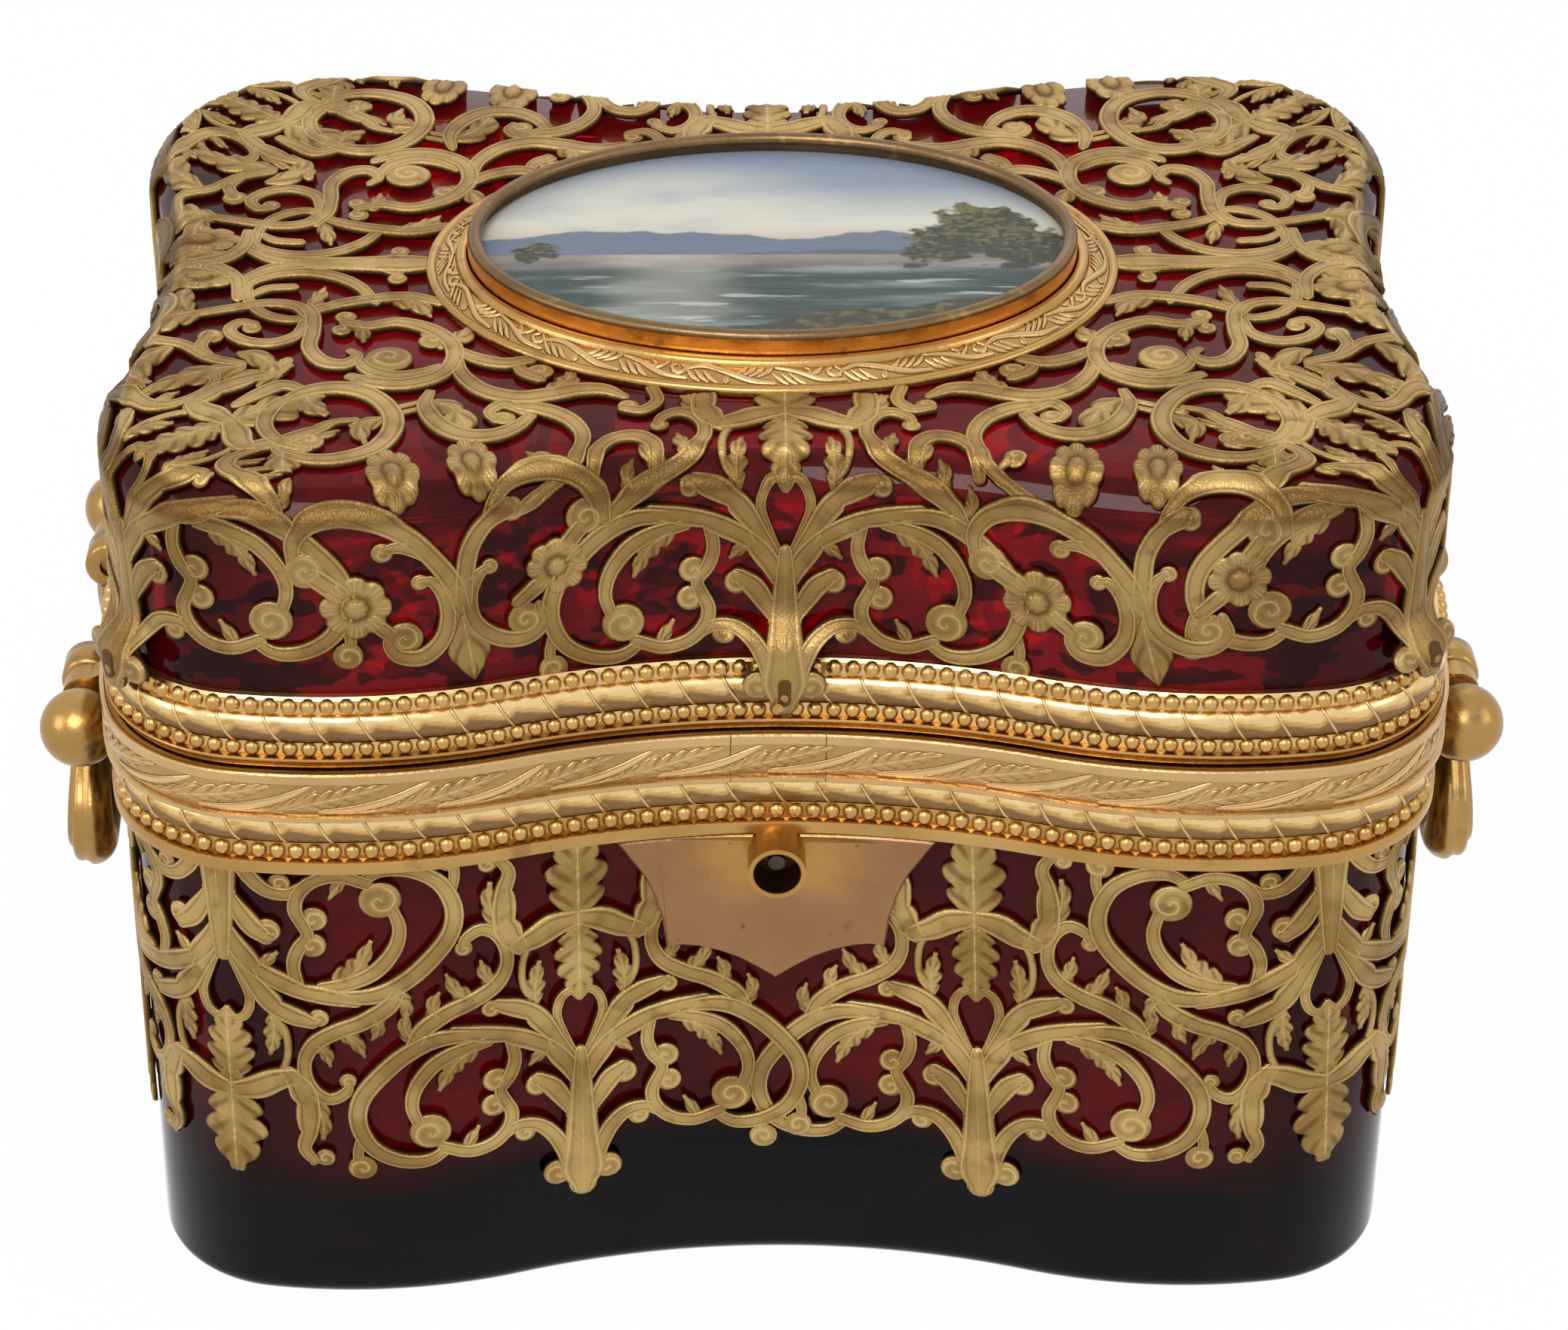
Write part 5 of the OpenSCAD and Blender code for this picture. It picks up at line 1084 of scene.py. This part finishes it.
def paintedPlaque(c):  # a quiet lake below hills, with a wooded bank
    g = Graph(bpy.data.materials.new("paintedEnamel"))
    x, y = g.axis("X") * (1000 / c["halfWidth"]), g.axis("Y") * (1000 / c["halfDepth"])

    def wave(scale, seed, stretch=1.0, detail=4.0):
        return g.noise(scale, detail, g.join(x * stretch, y, seed))

    sky = g.ramp(y, (0.0, c["skyLow"]), (0.22, c["cream"]), (0.62, c["cloud"]), (1.0, c["skyHigh"]))
    glow = g.rise(g.reach(x + 0.35, (y - 0.4) * 1.3), 0.75, 0.15)
    sky = g.mix(glow * 0.75, sky, c["cream"])
    sky = g.mix(g.rise(wave(2.2, 3.0, 0.5, 6.0), 0.48, 0.66) * 0.6, sky, c["cloud"])
    ridge = g.noise(1.6, 5.0, g.join(x, 0.0, 7.0)) * 0.5 - 0.16
    picture = g.mix(g.rise(y - ridge, 0.012, -0.012), sky, c["farHill"])
    ridge = g.noise(2.4, 6.0, g.join(x, 4.0, 2.0)) * 0.36 + x * 0.12 - 0.24
    hill = g.mix(wave(9.0, 5.0), c["nearHill"], c["farHill"])
    picture = g.mix(g.rise(y - ridge, 0.01, -0.01), picture, hill)
    depth = c["horizon"] - y
    ripple = wave(7.0, 1.0, 0.18, 6.0)
    lake = g.mix(g.rise(ripple, 0.5, 0.72) * 0.7, c["water"], c["shine"])
    lake = g.mix(g.rise(depth, 0.2, 0.0) * 0.5, lake, c["skyLow"])
    aside = g.maths("ABSOLUTE", x + 0.35 + (ripple - 0.5) * 0.5)
    lake = g.mix(g.rise(aside, 0.3, 0.05) * 0.3, lake, c["cream"])
    foam = g.rise(wave(15.0, 8.0, 0.16, 3.0), 0.6, 0.66) * g.rise(depth, 0.1, 0.3)
    lake = g.mix(foam * 0.55, lake, c["cream"])
    picture = g.mix(g.rise(depth, -0.006, 0.006), picture, lake)
    bank = y + 0.74 - x * 0.34 + (wave(3.0, 9.0) - 0.5) * 0.3
    ground = g.mix(g.rise(wave(16.0, 2.0), 0.45, 0.65), c["bank"], c["treeLight"])
    picture = g.mix(g.rise(bank, 0.02, -0.02), picture, ground)
    for tx, ty, size in c["trees"]:
        crown = g.reach(x - tx, (y - ty) * 0.7) + (wave(11.0, tx, 1.0, 6.0) - 0.5) * 0.26
        lit = g.rise(wave(34.0, ty, 1.0, 2.0) + 0.5 * (y - ty - 0.3 * (x - tx)), 0.48, 0.66)
        picture = g.mix(g.rise(crown, size, size - 0.03), picture, g.mix(lit, c["tree"], c["treeLight"]))
    strokes = wave(40.0, 6.0, 0.4, 2.0)
    picture = g.mix(0.12, picture, g.mix(strokes, c["brush"], c["brushLight"]))
    sockets = {"Base Color": picture, "Roughness": 0.5, "Specular IOR Level": 0.12}
    return g.finish(sockets, strokes, 0.1, 0.0001)


def makeMedallion(m):
    made("medallionBorder", [ovalPart(m["border"], m["a"], m["b"], fall=m["fall"])], "bright", "lid",
         ["medallion_border"], 50)
    made("borderChasing", borderChasing(m), "chased", "lid")
    a, b = m["bezelA"], m["bezelB"]
    made("bezelBand", [ovalPart(m["band"], a, b)], "bezel", "lid", ["bezel_band"], 30)
    made("bezelRim", [ovalPart(m["rim"], a, b)], "rolledRim", "lid", ["bezel_rim"], 60)
    made("bezelLiner", [ovalPart(m["liner"], a, b)], "rolledRim", "lid", (), 30)
    a, b = a - m["bezelWall"], b - m["bezelWall"]
    made("paintedPlaque", [ovalPart(m["plaque"], a, b, False)], "painting", "lid", ["painted_plaque"], 40)
    made("coverGlass", [ovalPart(m["cover"], a, b, False)], "cover", "lid", ["cover_glass"], 40)


finishes["painting"] = paintedPlaque(tinted(painting))
makeMedallion(medallion)
print("medallion is made")

# the drop handles and their pivots; the path is (y, z, thickness) and the profiles are (y, radius) points
handles = {"x": 76.5, "z": 60, "ball": 4.37, "ballY": 24, "pin": 1.25, "play": 0.05, "eyeY": 12.5, "bow": 1.1,
           "path": [(11.7, 58, 2), (13.2, 54.6, 2.1), (16.6, 50.4, 2.3), (19.8, 46.6, 2.6), (20.2, 43.2, 2.8),
                    (17.4, 40.8, 2.9), (12, 40, 2.95), (0, 39.9, 3)],
           "bowHalf": 24, "bowTop": 58, "bowFade": 14, "ridges": 3.5, "ridgeDepth": 0.24, "pinFrom": 10.9,
           "eye": [(-2.2, 2.6), (-1.8, 3), (1.8, 3), (2.2, 2.6)],
           "collar": [(18.05, 2.1), (19.4, 2.1), (19.7, 2.35), (20.1, 2.3)]}


def bail(h, sx):
    half = np.array(h["path"], float)
    path = smoothPath(np.vstack([half * [-1, 1, 1], half[-2::-1]]), 0.9)
    angle = np.linspace(0, 2 * np.pi, 40, endpoint=False)
    ridge = 1 - np.abs(np.cos(angle * h["ridges"])) ** 0.7
    ridged = 1 - h["ridgeDepth"] * ridge * np.clip(1.6 * np.cos(angle) + 0.5, 0, 1)
    bow = h["bow"] * np.clip(1 - (path[:, :1] / h["bowHalf"]) ** 2, 0, 1)
    bow = bow * np.clip((h["bowTop"] - path[:, 1:2]) / h["bowFade"], 0, 1)
    x = (h["x"] + bow + path[:, 2:] * (np.cos(angle) * ridged) * 0.95) * sx
    points = np.dstack([x, beside(path, path[:, 2:] * (np.sin(angle) * ridged))]).reshape(-1, 3)
    return plain(points, tubeFaces(len(path), len(angle)))


def makeHandles(h):
    hole = h["pin"] + h["play"]
    eye = [(h["eye"][0][0], hole)] + h["eye"] + [(h["eye"][-1][0], hole)]
    for side, sx in (("left", -1), ("right", 1)):
        eyes = [lathePart(eye, (sx * h["x"], sy * h["eyeY"], h["z"]), closed=True) for sy in (-1, 1)]
        made(side + "Handle", [bail(h, sx)] + eyes, "handle", side + "_handle", [side + "_handle"], 50)
    turns = np.radians(np.linspace(30, 176, 22))
    ball = [(h["ballY"] - h["ball"] * math.cos(t), h["ball"] * math.sin(t)) for t in turns]
    pin = [(h["pinFrom"], 0.3), (h["pinFrom"], h["pin"]), (h["collar"][0][0], h["pin"])]
    profile = pin + h["collar"] + ball
    made("handlePivots", [lathePart([(sy * y, r) for y, r in profile], (sx * h["x"], 0, h["z"]), 48)
                          for sx in (-1, 1) for sy in (-1, 1)], "handle", "base", ["handle_pivots"], 40)


makeHandles(handles)
print("handles are made")

# the lock's plate: its outline, then a sheet bent along the wall; its corners and faces are sorted, so that
# they come in the same order each time
lockPlate = {"halfOutline": [(17.5, 59.2), (16, 56.8), (14.6, 54.6), (13.4, 51.8), (12.6, 48.8), (12.1, 45),
                             (10.4, 45.1), (8.6, 44.8), (6.4, 44.1), (4.2, 43.1), (2, 41.7), (0, 40.3)],
             "back": 1.25, "face": 2.05, "soft": 0.22, "halfCut": 17, "order": (1, 7.31, 53.17)}


def makePlate(c):
    half = np.array(c["halfOutline"], float)
    work = bmesh.new()
    work.faces.new([work.verts.new((x, z, 0)) for x, z in np.vstack([half, (half * [-1, 1])[-2::-1]])])
    for cut in range(-c["halfCut"], c["halfCut"] + 1):
        bmesh.ops.bisect_plane(work, geom=work.verts[:] + work.edges[:] + work.faces[:], plane_co=(cut, 0, 0),
                               plane_no=(1, 0, 0))
    bmesh.ops.inset_region(work, faces=work.faces[:], thickness=c["soft"], use_boundary=True)
    rim = {v for e in work.edges if e.is_boundary for v in e.verts}
    for v in work.verts:
        v.co.z = c["face"] - (c["soft"] if v in rim else 0)
    walls = bmesh.ops.extrude_edge_only(work, edges=[e for e in work.edges if e.is_boundary])["geom"]
    for v in [g for g in walls if isinstance(g, bmesh.types.BMVert)]:
        v.co.z = c["back"]
    bmesh.ops.holes_fill(work, edges=[e for e in work.edges if e.is_boundary], sides=0)
    for v in work.verts:
        x, y = wallPoint(v.co.x, v.co.z)
        v.co = (float(x) * mm, float(y) * mm, v.co.y * mm)
    bmesh.ops.recalc_face_normals(work, faces=work.faces)
    order = Vector(c["order"])
    work.verts.sort(key=lambda v: v.co.dot(order))
    work.faces.sort(key=lambda f: f.calc_center_median().dot(order))
    mesh = bpy.data.meshes.new("lockPlate")
    work.to_mesh(mesh)
    work.free()
    mesh.polygons.foreach_set("use_smooth", [True] * len(mesh.polygons))
    mesh.set_sharp_from_angle(angle=math.radians(30))
    mesh.materials.append(finishes["plate"])
    handIn(newPiece("lockPlate", mesh, "base"), "plate", ["lock_plate"])


makePlate(lockPlate)
print("lock plate is made")

# the plain metalwork keeps its turned and cut shapes
metalwork = {"plate": ("key_barrel",), "bright": ("plaque_backing", "mount_pins"),
             "steel": ("drill_pin", "lock_case", "lock_bolt", "lid_catch", "hinge_pins"),
             "handle": ("hinge_base_leaves", "hinge_lid_leaves", "hinge_rivets", "handle_lugs")}
for finish, nodes in metalwork.items():
    for node in nodes:
        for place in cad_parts[node].material_slots:
            place.material = finishes[finish]
print("metalwork is finished")
